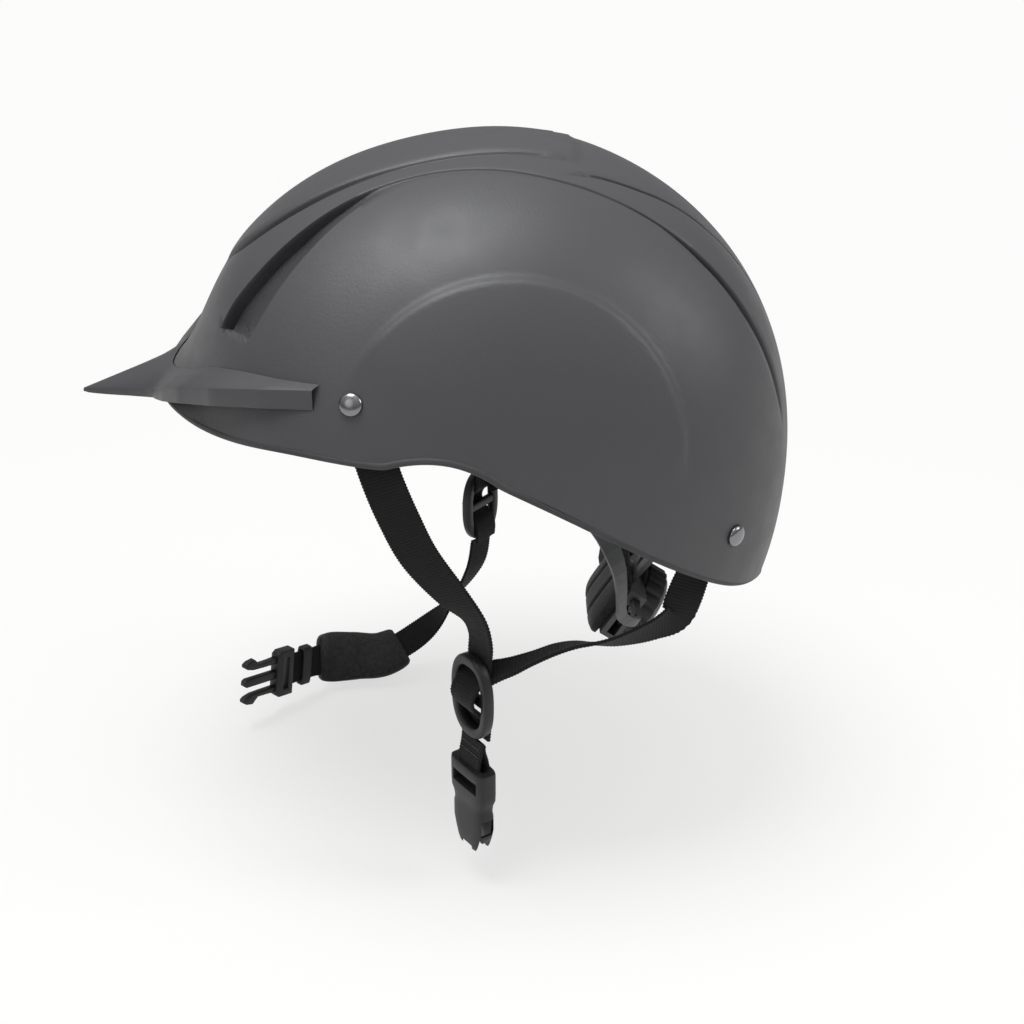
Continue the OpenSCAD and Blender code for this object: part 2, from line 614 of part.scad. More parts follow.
module dial_grip() color("#1e1e1f") at_dial() translate([0, 0, knob_z + 0.6]) difference() {
    cylinder(r = dial_r, h = dial_t - 1.2, $fn = 96);
    translate([0, 0, -1]) cylinder(r = dial_r - tyre_t, h = dial_t + 2, $fn = 72);
    for (k = [0 : 17])
        rotate([0, 0, k * 20])
            translate([dial_r + 1.6, 0, -1])
                cylinder(r = 2.2, h = dial_t + 2, $fn = 24);
}
module dial_screw() color("#b8b8b8") at_dial() translate([0, 0, knob_z + dial_t - 0.5 + 0.05]) {
    difference() {
        cylinder(r = 2.6, h = 1.4, $fn = 32);
        translate([0, 0, 0.7]) cube([0.7, 6, 1.6], center = true);
    }
    translate([0, 0, -4]) cylinder(r = 1, h = 4.2, $fn = 24);
}
module nape_pad() color("#1a1a1b") at_dial()
    translate([0, 0, floor_z - floor_t - gap - pad_t / 2])
        difference() {
            hull()
                for (x = [-18, 18], y = [-10, 12])
                    translate([x, y, 0]) scale([1.6, 1.4, 0.9]) sphere(r = pad_t / 1.8, $fn = 24);
            for (x = [-8, 0, 8])
                translate([x, 0, -pad_t / 2]) cube([1.2, 40, 1.6], center = true);
        }

module rivet_head() {
    intersection() {
        translate([0, 0, -3.6]) sphere(r = 6, $fn = 48);
        translate([0, 0, gap]) cylinder(r = rivet_r, h = 5, $fn = 48);
    }
    translate([0, 0, washer_z - washer_t - 0.8]) cylinder(r = shank_r, h = -washer_z + washer_t + 1.4, $fn = 24);
    translate([0, 0, washer_z - washer_t - 1.6]) cylinder(r = shank_r + 1.2, h = 1.3, $fn = 24);
}
module front_rivets() color("#c9c9cc") at_rivets(front_rivet) rivet_head();
module rear_rivets() color("#c9c9cc") at_rivets(rear_rivet) rivet_head();
module rivet_washers() color("#9a9a9e")
    for (spot = [front_rivet, rear_rivet])
        at_rivets(spot)
            translate([0, 0, washer_z - washer_t])
                difference() {
                    cylinder(r = washer_r, h = washer_t, $fn = 40);
                    translate([0, 0, -1]) cylinder(r = shank_r + 0.1, h = washer_t + 2, $fn = 24);
                }

// Upper ends of the straps, held between the shell and the liner
module strap_top(spot, foot, bow, across, w, t) {
    start = form(spot[0], spot[1], strap_depth + web_t / 2);
    strip([start, mix(start, foot, 0.5) + out_of(spot[0], spot[1]) * bow, foot], across, w, t, 3);
}
hook_front = form(88.53, 72.38, 6.4);
hook_rear = form(189.63, 44.38, 6.2);
module front_top_piece(w, t)
    strap_top([82, 60.5], hook_front, 0.4, [[0.1, 1, 0.2], [0, 1, 0.3], [0, 1, 0.35]], w, t);
module rear_top_piece(w, t)
    strap_top([176, 41], hook_rear, -1.2, [[0.55, -0.75, -0.3], [0.4, -0.8, -0.1], [0.2, -0.9, 0.38]], w, t);
module front_top_space() front_top_piece(web_w + 3, web_t + 2.2);
module rear_top_space() rear_top_piece(web_w + 3, web_t + 2.2);
module strap_tops() color("#161617") mirrored() {
    for (spot = [0, 1])
        difference() {
            if (spot == 0) front_top_piece(web_w, web_t);
            else rear_top_piece(web_w, web_t);
            at_rivet(spot == 0 ? front_rivet : rear_rivet, 1)
                cylinder(r = shank_r + gap, h = 30, center = true, $fn = 24);
        }
}

// Harness straps below the rim, along points chosen by hand
hang_x = shell_half_w - 21;
divider_at = [hang_x, 1, -103];
divider_turn = -55;
divider_top = divider_at[2] + divider_h / 2;
divider_foot = divider_at[2] - divider_h / 2;
function hung(points) = [for (p = points) p + [hang_x, 0, 0]];
front_route = concat([hook_front + [0.1, 0.3, -0.9]],
    hung([[10.8, -24, -24], [8, -17.5, -40], [4, -7, -57], [1.5, 1.5, -69], [0, 4.2, -78], [-1.5, 4, -86],
        [-1.72, 3.46, -91]]));
front_across = [[0, 1, 0.45], [0, 1, 0.5], [0.15, 1, 0.6], [0.45, 0.8, 0.6], [0.75, 0.6, 0.35], [0.82, 0.57, 0.1],
    [0.82, 0.57, 0], [0.82, 0.57, 0]];
rear_way = [0.185, -0.346, -0.92];
rear_route = concat([hook_rear + rear_way * 1.8, hook_rear + rear_way * 7],
    hung([[-6.6, 71.5, -76.8], [-3.6, 64, -78.4], [-1.6, 56, -79.8], [-0.4, 48, -80.4], [0, 40, -80.8], [0, 32, -83],
        [0, 24, -86.6], [0, 17, -89.8], [0, 10.8, -92]]));
rear_across = [[-0.2, 0.9, -0.38], [-0.42, 0.82, -0.4], [-0.6, 0.55, -0.6], [-0.66, 0.35, -0.66],
    [-0.74, 0.15, -0.62], [-0.85, 0.03, -0.5], [-0.92, 0, -0.36], [-0.95, 0, -0.25], [-0.98, 0, -0.19],
    [-0.95, -0.15, -0.12], [-0.88, -0.35, -0.08]];
module front_strap() color("#161617") strip(front_route, front_across, web_w, web_t);
module rear_strap() color("#161617")
    strip(rear_route, rear_across, [for (i = [0 : 10]) web_w - (i > 8 ? 1.5 : 0)], web_t, 3);

// Divider, an oval slider with a bar between its two slots
module divider() color("#232325")
    translate(divider_at)
        rotate([90, 0, divider_turn + 90])
            translate([0, 0, -2])
                linear_extrude(4)
                    difference() {
                        hull() {
                            translate([0, divider_h / 2 - divider_w / 2 + 2]) circle(d = divider_w - 4, $fn = 48);
                            translate([0, -divider_h / 2 + divider_w / 2 - 1]) circle(d = divider_w - 2, $fn = 48);
                            translate([0, -2]) circle(d = divider_w, $fn = 48);
                        }
                        translate([0, 6.5]) square([web_w + 1, 5], center = true);
                        translate([0, -6.5]) square([web_w + 1, 5], center = true);
                    }
module front_strap_left() front_strap();
module rear_strap_left() rear_strap();
module divider_left() divider();
module front_strap_right() mirror([1, 0, 0]) front_strap();
module rear_strap_right() mirror([1, 0, 0]) rear_strap();
module divider_right() mirror([1, 0, 0]) divider();

// Short strap that carries the buckle's socket on the left
socket_top = divider_foot - 13;
// Space between a divider and the strap that hinges below it
tail_gap = 0.9;
across_turn = [-sin(divider_turn), cos(divider_turn), 0];
module lower_strap_left() color("#161617")
    strip(hung([[0, 1, divider_foot - tail_gap], [0, 1, socket_top + 4], [0, 1, socket_top - 2.6]]),
        [across_turn, across_turn, across_turn], web_w, web_t, 2);

// Socket half of the side release buckle, open at its foot and at its sides
module at_socket()
    translate([hang_x, 1, socket_top])
        rotate([90, 0, divider_turn + 90])
            children();
bar_slot = 3.6;
cheek = 1.6;
module socket_plan() {
    polygon([[-buckle_w / 2, 0], [buckle_w / 2, 0], [buckle_w / 2, -socket_len * 0.5],
        [buckle_w / 2 - 1.6, -socket_len * 0.56], [buckle_w / 2 - 1.6, -socket_len * 0.8],
        [buckle_w / 2 - 5, -socket_len], [-buckle_w / 2 + 5, -socket_len],
        [-buckle_w / 2 + 1.6, -socket_len * 0.8], [-buckle_w / 2 + 1.6, -socket_len * 0.56],
        [-buckle_w / 2, -socket_len * 0.5]]);
}
module buckle_socket() color("#1a1a1c") at_socket() difference() {
    translate([0, 0, -buckle_t / 2]) linear_extrude(buckle_t) socket_plan();
    translate([-web_w / 2 - 0.5, -2 - 2 * bar_slot, -buckle_t]) cube([web_w + 1, bar_slot, 2 * buckle_t]);
    translate([-web_w / 2 - 0.5, -3.2, -web_t / 2 - gap]) cube([web_w + 1, 4, web_t + 2 * gap]);
    translate([-buckle_w / 2 + 3.2, -socket_len - 1, -buckle_t / 2 + cheek])
        cube([buckle_w - 6.4, socket_len - 13, buckle_t - 2 * cheek]);
    translate([-buckle_w, -socket_len * 0.76, -buckle_t / 2 + cheek])
        cube([2 * buckle_w, socket_len * 0.2, buckle_t - 2 * cheek]);
}

// Long strap on the right, with the chin pad and the plug half of the buckle
function hung_right(points) = [for (p = points) p - [hang_x, 0, 0]];
chin_route = hung_right([[0, 1, divider_foot - tail_gap], [1, -2, -136], [5, -14, -154], [10, -29, -168],
    [16, -46, -176], [19, -60, -175.5], [25, -71, -173], [31.9, -78.1, -171.3], [43, -88, -169]]);
turned = [sin(divider_turn), cos(divider_turn), 0];
chin_across = [turned, turned, [-0.8, 0.3, 0.25], [-0.85, -0.1, 0.5], [-0.85, -0.2, 0.45], [-0.75, -0.2, 0.6],
    [-0.5, -0.15, 0.8], [-0.1, 0, 1], [-0.1, 0, 1]];
module chin_strap_right() color("#161617") strip(chin_route, chin_across, web_w, web_t, 4);
module chin_pad() color("#1b1b1c") {
    route = smooth_path(chin_route, 4);
    ways = smooth_path(chin_across, 4);
    first = 14;
    last = 27;
    swept([for (i = [first : last])
        let (along = unit(route[i + 1] - route[i - 1]), u = unit(ways[i] - along * (ways[i] * along)),
            n = cross(along, u), full = pow(1 - pow(abs(2 * (i - first) / (last - first) - 1), 4), 0.5),
            t = 1.6 + 2.4 * full, h = web_w / 2 + 2 + 2.5 * full, m = route[i] + n * (web_t / 2 + pad_gap + 0.2))
        [m - u * h, m + u * h, m + u * h * 0.85 + n * t * 0.8, m + u * h * 0.4 + n * t,
            m - u * h * 0.4 + n * t, m - u * h * 0.85 + n * t * 0.8]]);
}

// Plug half of the buckle
plug_at = chin_route[len(chin_route) - 1];
plug_way = unit(plug_at - chin_route[len(chin_route) - 2]);
module at_plug()
    translate(plug_at)
        rotate([0, 0, atan2(plug_way[1], plug_way[0])])
            rotate([0, -asin(plug_way[2]), 0])
                rotate([90, 0, 0])
                    children();
prong_at = 7.2;
module buckle_plug() color("#1a1a1c") at_plug() {
    difference() {
        translate([gap, -buckle_w / 2, -2.6]) cube([10, buckle_w, 5.2]);
        translate([3, -web_w / 2 - 0.5, -4]) cube([3, web_w + 1, 8]);
    }
    translate([0, 0, -1.5])
        linear_extrude(3)
            union() {
                translate([10, -2]) square([19, 4]);
                for (s = [-1, 1])
                    translate([10, s * prong_at])
                        polygon([[0, -s * 1.4], [16, -s * 1.4], [19, s * 0.2], [19, s * 2.4], [13, s * 4],
                            [11, s * 1], [0, s * 1.4]]);
            }
}

// Rubber loop that keeps the strap's tail, free to slide along the strap
keeper_at = plug_at - plug_way * 11;
module strap_keeper() color("#202022")
    translate(keeper_at)
        rotate([0, 0, atan2(plug_way[1], plug_way[0])])
            rotate([0, -asin(plug_way[2]), 0])
                rotate([90, 0, 0])
                    difference() {
                        translate([0, -web_w / 2 - 2.2, -2.6]) cube([5, web_w + 4.4, 5.2]);
                        translate([-1, -web_w / 2 - 0.7, -1.3]) cube([7, web_w + 1.4, 2.6]);
                    }

shell();
peak();
edge_trim();
foam_liner();
crown_pad();
side_pad_left();
side_pad_right();
brow_pad();
headband();
cradle();
dial_cover();
pinion();
dial_knob();
dial_grip();
dial_screw();
fit_arm_left();
fit_arm_right();
nape_pad();
front_rivets();
rear_rivets();
rivet_washers();
strap_tops();
front_strap_left();
rear_strap_left();
divider_left();
lower_strap_left();
buckle_socket();
front_strap_right();
rear_strap_right();
divider_right();
chin_strap_right();
chin_pad();
buckle_plug();
strap_keeper();
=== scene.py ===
from math import cos, pi, radians, sin, sqrt

import bmesh
import bpy
import numpy as np
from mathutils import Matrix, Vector


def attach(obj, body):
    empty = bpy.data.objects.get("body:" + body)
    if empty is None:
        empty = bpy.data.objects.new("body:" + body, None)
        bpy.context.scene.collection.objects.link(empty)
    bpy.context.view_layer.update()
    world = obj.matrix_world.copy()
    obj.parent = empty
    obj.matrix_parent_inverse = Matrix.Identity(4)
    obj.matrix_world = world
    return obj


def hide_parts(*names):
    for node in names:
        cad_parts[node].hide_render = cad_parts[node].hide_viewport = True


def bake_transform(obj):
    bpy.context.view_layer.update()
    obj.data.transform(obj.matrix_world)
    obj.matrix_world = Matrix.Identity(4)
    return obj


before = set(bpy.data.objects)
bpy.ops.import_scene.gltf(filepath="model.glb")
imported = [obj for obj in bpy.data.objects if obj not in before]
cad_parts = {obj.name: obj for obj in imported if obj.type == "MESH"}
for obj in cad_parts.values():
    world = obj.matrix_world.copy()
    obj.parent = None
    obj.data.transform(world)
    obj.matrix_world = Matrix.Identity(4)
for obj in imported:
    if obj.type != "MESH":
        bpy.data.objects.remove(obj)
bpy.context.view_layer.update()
SCENE = bpy.context.scene
MM = 0.001

# Riding helmet. The front faces -Y, the wearer's left is +X and +Z is up.
# Lengths here are millimetres and angles degrees, and every mesh is scaled to metres as it is made.

# Form of the shell: reaches at angles round an axis along X, from the front over the top to the back
AXIS_Y, AXIS_Z = -28.0, -49.0
REACH_ANGLES = [10, 35, 60, 90, 120, 150, 180, 205]
REACHES = [116, 104, 118, 134.5, 153.5, 161.5, 154, 147]
HALF_WIDTH = 109.0
SHELL_WALL = 2.8

# Power of the cross section's rounding, and how far it drops towards the brow
ROUNDNESS, FRONT_ROUND = 2.45, 0.3

# Rim: angle at the temples, angles from there to front, back and sides, and powers of its corners
MID_ANGLE, RIM_FRONT, RIM_BACK, RIM_SIDE = 107.0, 80.0, 84.0, 70.0
RIM_FRONT_POWER, RIM_BACK_POWER = 2.35, 3.0

# Relief of the shell
LEAF_RISE, LEAF_END = 1.4, 117.0
GROOVE_DEPTH, SLOT_DEPTH, TAIL_DEPTH = 2.5, 6.0, 3.0
SLOT_FOOT, TAIL_FROM, TAIL_WIDTH = 52.0, 115.0, 1.6
ARCH_RISE, ARCH_RADIUS, ARCH_Y, ARCH_Z = 1.8, 64.0, 14.0, -5.0

# Places of the rivets, as an angle round the axis and an angle off the middle
FRONT_RIVET, REAR_RIVET = (80.5, 59.0), (177.0, 39.0)
RIVET_RADIUS, RIVET_WALL, RIVET_DOME = 4.2, 0.6, 1.75

# Liner and pads
FOAM_OUTSIDE, FOAM_THICKNESS = 3.3, 22.0
FOAM_INSIDE = FOAM_OUTSIDE + FOAM_THICKNESS
PAD_GAP, PAD_THICKNESS, SEAM_DEPTH, SEAM_WIDTH = 0.7, 5.0, 1.8, 0.05

# Headband
BAND_HALF_WIDTH, BAND_REACH, BAND_Y, BAND_Z = 74.0, 79.0, -5.0, 5.0
BAND_HEIGHT, BAND_THICKNESS = 17.0, 1.6

# Fit dial
DIAL_Y, DIAL_Z, DIAL_TILT = 62.5, -103.1, 123.0
DIAL_RADIUS, DIAL_THICKNESS, KNOB_Z, DIAL_HOLLOWS = 16.5, 10.0, 3.95, 18

# Harness
WEB_WIDTH, WEB_THICKNESS = 15.0, 1.4
WEB_SPACING, RIB_PITCH, RIB_RISE = 0.35, 1.25, 0.16
DIVIDER = np.array([88.0, 1.0, -103.0])
DIVIDER_HEIGHT, DIVIDER_WIDTH = 35.0, 24.0
TURN = 35.0
BUCKLE_WIDTH, BUCKLE_THICKNESS, SOCKET_LENGTH = 23.0, 9.0, 38.0
HOOK_FRONT = np.array([100.2, -29.0, -9.6])
HOOK_REAR = np.array([76.6, 81.0, -67.5])

# Floor, and the sides of paired pieces
FLOOR_Z, FLOOR_HALF = -188.0, 6000.0
SIDES = (("left", 1), ("right", -1))


# Small helpers

def ease(t):
    u = np.clip(t, 0.0, 1.0)
    return u * u * (3 - 2 * u)


def mix(a, b, t):
    return a + (b - a) * t


def unit(v):
    v = np.asarray(v, float)
    return v / np.maximum(np.linalg.norm(v, axis=-1, keepdims=True), 1e-12)


def curve(xs, ys, x):
    """Smooth curve through the knots, level beyond its ends."""
    xs, ys = np.asarray(xs, float), np.asarray(ys, float)
    before = np.maximum(np.arange(len(xs)) - 1, 0)
    after = np.minimum(np.arange(len(xs)) + 1, len(xs) - 1)
    slopes = (ys[after] - ys[before]) / (xs[after] - xs[before])
    x = np.clip(x, xs[0], xs[-1])
    k = np.clip(np.searchsorted(xs, x, side="right") - 1, 0, len(xs) - 2)
    w = xs[k + 1] - xs[k]
    t = (x - xs[k]) / w
    return ((1 + 2 * t) * (1 - t) ** 2 * ys[k] + t * (1 - t) ** 2 * slopes[k] * w
            + t * t * (3 - 2 * t) * ys[k + 1] + t * t * (t - 1) * slopes[k + 1] * w)


def line(xs, ys, x):
    return np.interp(x, xs, ys)


def rounded(value, power):
    """A number's size to a power, with its sign. On cosines and sines it squares a circle off."""
    return np.sign(value) * np.abs(value) ** power


def around(count):
    return np.linspace(0, 2 * pi, count, endpoint=False)


def plumpness(x, y):
    """Height of a cushion, from 1 in its middle to 0 at its edges, where x or y is 1."""
    return np.sqrt(np.maximum(0, 1 - x ** 4)) * np.sqrt(np.maximum(0, 1 - y ** 4))


def smooth_path(points, steps=40):
    """Smooth path through given points."""
    p = np.asarray(points, float)
    n = len(p)
    out = []
    for i in range(n - 1):
        a, b, c, d = p[max(0, i - 1)], p[i], p[i + 1], p[min(n - 1, i + 2)]
        for j in range(steps):
            t = j / steps
            out.append(0.5 * (2 * b + (c - a) * t + (2 * a - 5 * b + 4 * c - d) * t * t
                              + (3 * b - a - 3 * c + d) * t ** 3))
    out.append(p[-1])
    return np.array(out)


def resampled(points, run, at):
    """Points of a path at other lengths than its own points' ones."""
    return np.stack([np.interp(at, run, points[:, k]) for k in range(3)], -1)


def even_path(points, spacing):
    """The path at even spacing, with each point's place in the list and its run along the path."""
    fine = smooth_path(points)
    place = np.linspace(0, len(points) - 1, len(fine))
    run = np.concatenate([[0], np.cumsum(np.linalg.norm(np.diff(fine, axis=0), axis=1))])
    n = max(3, int(round(run[-1] / spacing)) + 1)
    at = np.linspace(0, run[-1], n)
    return resampled(fine, run, at), np.interp(at, run, place), at


def mirrored(points):
    return np.asarray(points, float) * [-1, 1, 1]


# Meshes

def mesh_object(name, points, faces, material, uvs=None, smooth=True, sharp=None):
    """A mesh from points in millimetres and faces, each a list of point numbers."""
    mesh = bpy.data.meshes.new(name)
    mesh.from_pydata([tuple(p) for p in np.asarray(points, float) * MM], [], [list(f) for f in faces])
    mesh.materials.append(material)
    if uvs is not None:
        layer = mesh.uv_layers.new(name="UVMap")
        loops = np.empty(len(mesh.loops), int)
        mesh.loops.foreach_get("vertex_index", loops)
        layer.data.foreach_set("uv", np.asarray(uvs, float)[loops].reshape(-1))
    mesh.validate()
    mesh.update()
    obj = bpy.data.objects.new(name, mesh)
    SCENE.collection.objects.link(obj)
    if smooth:
        mesh.shade_smooth()
    if sharp is not None:
        mesh.set_sharp_from_angle(angle=radians(sharp))
    return obj


def outward(obj):
    """Turns a closed mesh's faces outward."""
    bm = bmesh.new()
    bm.from_mesh(obj.data)
    bmesh.ops.recalc_face_normals(bm, faces=bm.faces)
    bm.to_mesh(obj.data)
    bm.free()
    return obj


def grid_faces(nu, nv, base, flip):
    corners = [base + i * nv + j for i in range(nu - 1) for j in range(nv - 1)]
    faces = [[a, a + nv, a + nv + 1, a + 1] for a in corners]
    return [f[::-1] for f in faces] if flip else faces


def edge_loop(nu, nv):
    return ([i * nv for i in range(nu)] + [(nu - 1) * nv + j for j in range(1, nv)]
            + [i * nv + nv - 1 for i in range(nu - 2, -1, -1)] + [j for j in range(nv - 2, 0, -1)])


def between(name, outer, inner, material, **options):
    """Closed solid between an outer and an inner grid of points."""
    nu, nv = outer.shape[:2]
    base = nu * nv
    points = np.concatenate([outer.reshape(-1, 3), inner.reshape(-1, 3)])
    faces = grid_faces(nu, nv, 0, True) + grid_faces(nu, nv, base, False)
    loop = edge_loop(nu, nv)
    for k, a in enumerate(loop):
        b = loop[(k + 1) % len(loop)]
        faces.append([a, b, b + base, a + base])
    return outward(mesh_object(name, points, faces, material, **options))


def swept(name, rings, material, closed=False, **options):
    """Closed solid through rings of points."""
    rings = np.asarray(rings, float)
    n, m = rings.shape[:2]
    faces = []
    for i in range(n if closed else n - 1):
        c = ((i + 1) % n) * m
        for j in range(m):
            k = (j + 1) % m
            faces.append([i * m + j, i * m + k, c + k, c + j])
    if not closed:
        faces.append(list(range(m - 1, -1, -1)))
        faces.append([(n - 1) * m + j for j in range(m)])
    return outward(mesh_object(name, rings.reshape(-1, 3), faces, material, **options))


def lathe(name, profile, material, steps, place, **options):
    """Solid turned about Z from a profile of (radius, height) that starts and ends on the axis."""
    profile = np.asarray(profile, float)
    inner = profile[1:-1]
    a = around(steps)
    rings = np.stack([np.outer(inner[:, 0], np.cos(a)), np.outer(inner[:, 0], np.sin(a)),
                      np.repeat(inner[:, 1][:, None], steps, 1)], -1)
    points = np.concatenate([[[0, 0, profile[0, 1]]], rings.reshape(-1, 3), [[0, 0, profile[-1, 1]]]])
    turn = [(j, (j + 1) % steps) for j in range(steps)]
    last, top = len(points) - 1, 1 + (len(inner) - 1) * steps
    faces = [[0, 1 + k, 1 + j] for j, k in turn]
    for b in range(1, top, steps):
        faces += [[b + j, b + k, b + steps + k, b + steps + j] for j, k in turn]
    faces += [[last, top + j, top + k] for j, k in turn]
    return outward(mesh_object(name, place(points), faces, material, **options))


def finish_piece(obj, body, slot, *nodes, pad=None):
    """Gives a piece its body and hides the nodes that it stands for. The slot and pad are not used."""
    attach(obj, body)
    if nodes:
        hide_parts(*nodes)


def modify(obj, kind, **settings):
    """Applies one modifier to an object's mesh."""
    modifier = obj.modifiers.new(kind, kind)
    for key, value in settings.items():
        setattr(modifier, key, value)
    bpy.context.view_layer.update()
    evaluated = obj.evaluated_get(bpy.context.evaluated_depsgraph_get())
    mesh = bpy.data.meshes.new_from_object(evaluated)
    obj.modifiers.clear()
    obj.data = mesh


def cut(obj, *cutters):
    """Takes the cutters' solids out of obj and deletes them."""
    for cutter in cutters:
        modify(obj, "BOOLEAN", operation="DIFFERENCE", solver="EXACT", object=cutter)
        bpy.data.objects.remove(cutter, do_unlink=True)


BEVEL_ANGLE, SHARP_ANGLE = 35, 40


def bevel(obj, width, segments=2):
    """Rounds the edges of obj."""
    modify(obj, "BEVEL", width=width * MM, segments=segments, limit_method="ANGLE",
           angle_limit=radians(BEVEL_ANGLE), harden_normals=False)
    obj.data.shade_smooth()
    obj.data.set_sharp_from_angle(angle=radians(SHARP_ANGLE))
    return obj


# Materials

def socket(node, name, value):
    node.inputs[name].default_value = value


def map_range(tree, value, low, high, to_low, to_high):
    """Node that maps a value from one range to another."""
    n = tree.nodes.new("ShaderNodeMapRange")
    for key, v in (("From Min", low), ("From Max", high), ("To Min", to_low), ("To Max", to_high)):
        socket(n, key, v)
    tree.links.new(value, n.inputs["Value"])
    return n


class Paint:
    """A node material around one Principled shader."""

    def __init__(self, name, color, roughness, metallic=0.0, sheen=0.0, specular=0.5):
        self.material = bpy.data.materials.new(name)
        self.material.use_nodes = True
        self.tree = self.material.node_tree
        self.shader = self.tree.nodes["Principled BSDF"]
        for key, value in (("Base Color", (*color, 1)), ("Roughness", roughness), ("Metallic", metallic),
                           ("Sheen Weight", sheen), ("Specular IOR Level", specular)):
            socket(self.shader, key, value)
        self.where = self.node("ShaderNodeTexCoord").outputs["Object"]
        self.normal = None

    def node(self, kind, **values):
        n = self.tree.nodes.new(kind)
        for key, value in values.items():
            if hasattr(n, key):
                setattr(n, key, value)
            else:
                socket(n, key.replace("_", " "), value)
        return n

    def link(self, a, b):
        self.tree.links.new(a, b)

    def noise(self, scale, detail=3.0, where=None):
        n = self.node("ShaderNodeTexNoise", Scale=scale, Detail=detail)
        self.link(where or self.where, n.inputs["Vector"])
        return n.outputs["Fac"]

    def cells(self, scale, feature="F1"):
        n = self.node("ShaderNodeTexVoronoi", Scale=scale)
        n.feature = feature
        self.link(self.where, n.inputs["Vector"])
        return n.outputs["Distance"]

    def span(self, value, low, high, to_low=0.0, to_high=1.0):
        return map_range(self.tree, value, low, high, to_low, to_high).outputs["Result"]

    def tint(self, factor, low, high):
        """Base colour between two colours by a factor."""
        n = self.node("ShaderNodeMix")
        n.data_type = "RGBA"
        n.inputs["A"].default_value = (*low, 1)
        n.inputs["B"].default_value = (*high, 1)
        self.link(factor, n.inputs["Factor"])
        self.link(n.outputs["Result"], self.shader.inputs["Base Color"])

    def rough(self, factor, low, high):
        self.link(self.span(factor, 0.3, 0.7, low, high), self.shader.inputs["Roughness"])

    def bump(self, height, strength, distance):
        n = self.node("ShaderNodeBump", Strength=strength, Distance=distance)
        self.link(height, n.inputs["Height"])
        if self.normal is not None:
            self.link(self.normal, n.inputs["Normal"])
        self.normal = n.outputs["Normal"]
        self.link(self.normal, self.shader.inputs["Normal"])


def shade(color, factor):
    return tuple(min(1.0, c * factor) for c in color)


def moulded(name, color, roughness, grain=0.5, grain_scale=1400, specular=0.5):
    """Moulded plastic with a fine grain and a slight change of tone."""
    p = Paint(name, color, roughness, specular=specular)
    tone = p.noise(14, 4)
    p.tint(p.span(tone, 0.3, 0.7), shade(color, 0.88), shade(color, 1.12))
    fine = p.noise(grain_scale, 2)
    p.rough(p.noise(60, 5), roughness - 0.05, roughness + 0.06)
    p.bump(fine, grain, 0.00012)
    return p.material


# Name of the point attribute with each outer point's groove depth, by which shade is painted on the groove
# floors
GROOVE_SHADE_MARK = "groove_depth"


def shell_material():
    """Satin shell with shade painted on its groove floors, which are darker the deeper they lie, where light
    hardly reaches.
    """
    p = Paint("shell_satin", (0.060, 0.060, 0.064), 0.5, specular=0.5)
    depth = p.node("ShaderNodeAttribute", attribute_name=GROOVE_SHADE_MARK).outputs["Fac"]
    # Painted shade: the deeper the groove, the darker its floor's colour
    p.tint(p.span(depth, 0.25, 1.4), (0.052, 0.052, 0.056), (0.036, 0.036, 0.039))
    p.rough(p.noise(90, 4), 0.46, 0.54)
    p.bump(p.noise(900, 2), 0.35, 0.0002)
    p.bump(p.noise(2600, 2), 0.3, 0.0001)
    return p.material


def webbing_material():
    """Black yarn. The ribs are in the mesh."""
    p = Paint("webbing", (0.006, 0.006, 0.007), 0.8, sheen=0.06, specular=0.18)
    uv = p.node("ShaderNodeUVMap").outputs["UV"]
    yarn = p.noise(3.5, 2, uv)
    p.tint(p.span(yarn, 0.3, 0.7), (0.005, 0.005, 0.0055), (0.014, 0.014, 0.015))
    p.bump(yarn, 0.4, 0.0003)
    p.bump(p.noise(2200, 2), 0.3, 0.0002)
    return p.material


def knit_material(name, color):
    """Brushed knit over foam."""
    p = Paint(name, color, 0.9, sheen=0.35, specular=0.2)
    p.tint(p.span(p.noise(500, 3), 0.3, 0.7), shade(color, 0.7), shade(color, 1.5))
    p.bump(p.cells(900), 0.5, 0.0003)
    p.bump(p.noise(60, 3), 0.3, 0.0006)
    return p.material


def foam_material():
    """Pressed beads."""
    p = Paint("bead_foam", (0.030, 0.030, 0.031), 0.7, specular=0.35)
    edges = p.cells(230, "DISTANCE_TO_EDGE")
    p.tint(p.span(p.cells(230), 0.0, 0.8), (0.020, 0.020, 0.021), (0.042, 0.042, 0.044))
    p.bump(p.span(edges, 0.0, 0.12), 0.5, 0.0004)
    p.bump(p.noise(1200, 2), 0.3, 0.0002)
    return p.material


def metal_material(name, color, roughness):
    p = Paint(name, color, roughness, metallic=1.0)
    p.rough(p.noise(700, 4), roughness * 0.7, roughness * 1.5)
    p.bump(p.noise(300, 3), 0.08, 0.0002)
    return p.material


def rubber_material(name, color):
    p = Paint(name, color, 0.62, specular=0.4)
    p.tint(p.span(p.noise(40, 4), 0.3, 0.7), shade(color, 0.8), shade(color, 1.25))
    p.bump(p.noise(1800, 3), 0.4, 0.0002)
    return p.material


SHELL = shell_material()
PEAK = moulded("peak_satin", (0.046, 0.046, 0.050), 0.5, 0.5)
TRIM = rubber_material("trim_rubber", (0.040, 0.040, 0.043))
FOAM = foam_material()
KNIT = knit_material("knit_black", (0.018, 0.018, 0.019))
WEBBING = webbing_material()
THREAD = knit_material("thread_black", (0.03, 0.03, 0.032))
BUCKLE = moulded("buckle_black", (0.013, 0.013, 0.0135), 0.42, 0.35, 1100, specular=0.35)
FIT = moulded("fit_grey", (0.052, 0.053, 0.056), 0.42, 0.3)
DIAL = moulded("dial_grey", (0.12, 0.12, 0.125), 0.4, 0.3)
GEAR = moulded("gear_white", (0.55, 0.55, 0.53), 0.3, 0.1)
GRIP = rubber_material("grip_rubber", (0.020, 0.020, 0.021))
CHROME = metal_material("chrome", (0.24, 0.24, 0.25), 0.2)
STEEL = metal_material("steel", (0.45, 0.45, 0.47), 0.35)


# Form of the shell

def reach(a):
    return curve(REACH_ANGLES, REACHES, a)


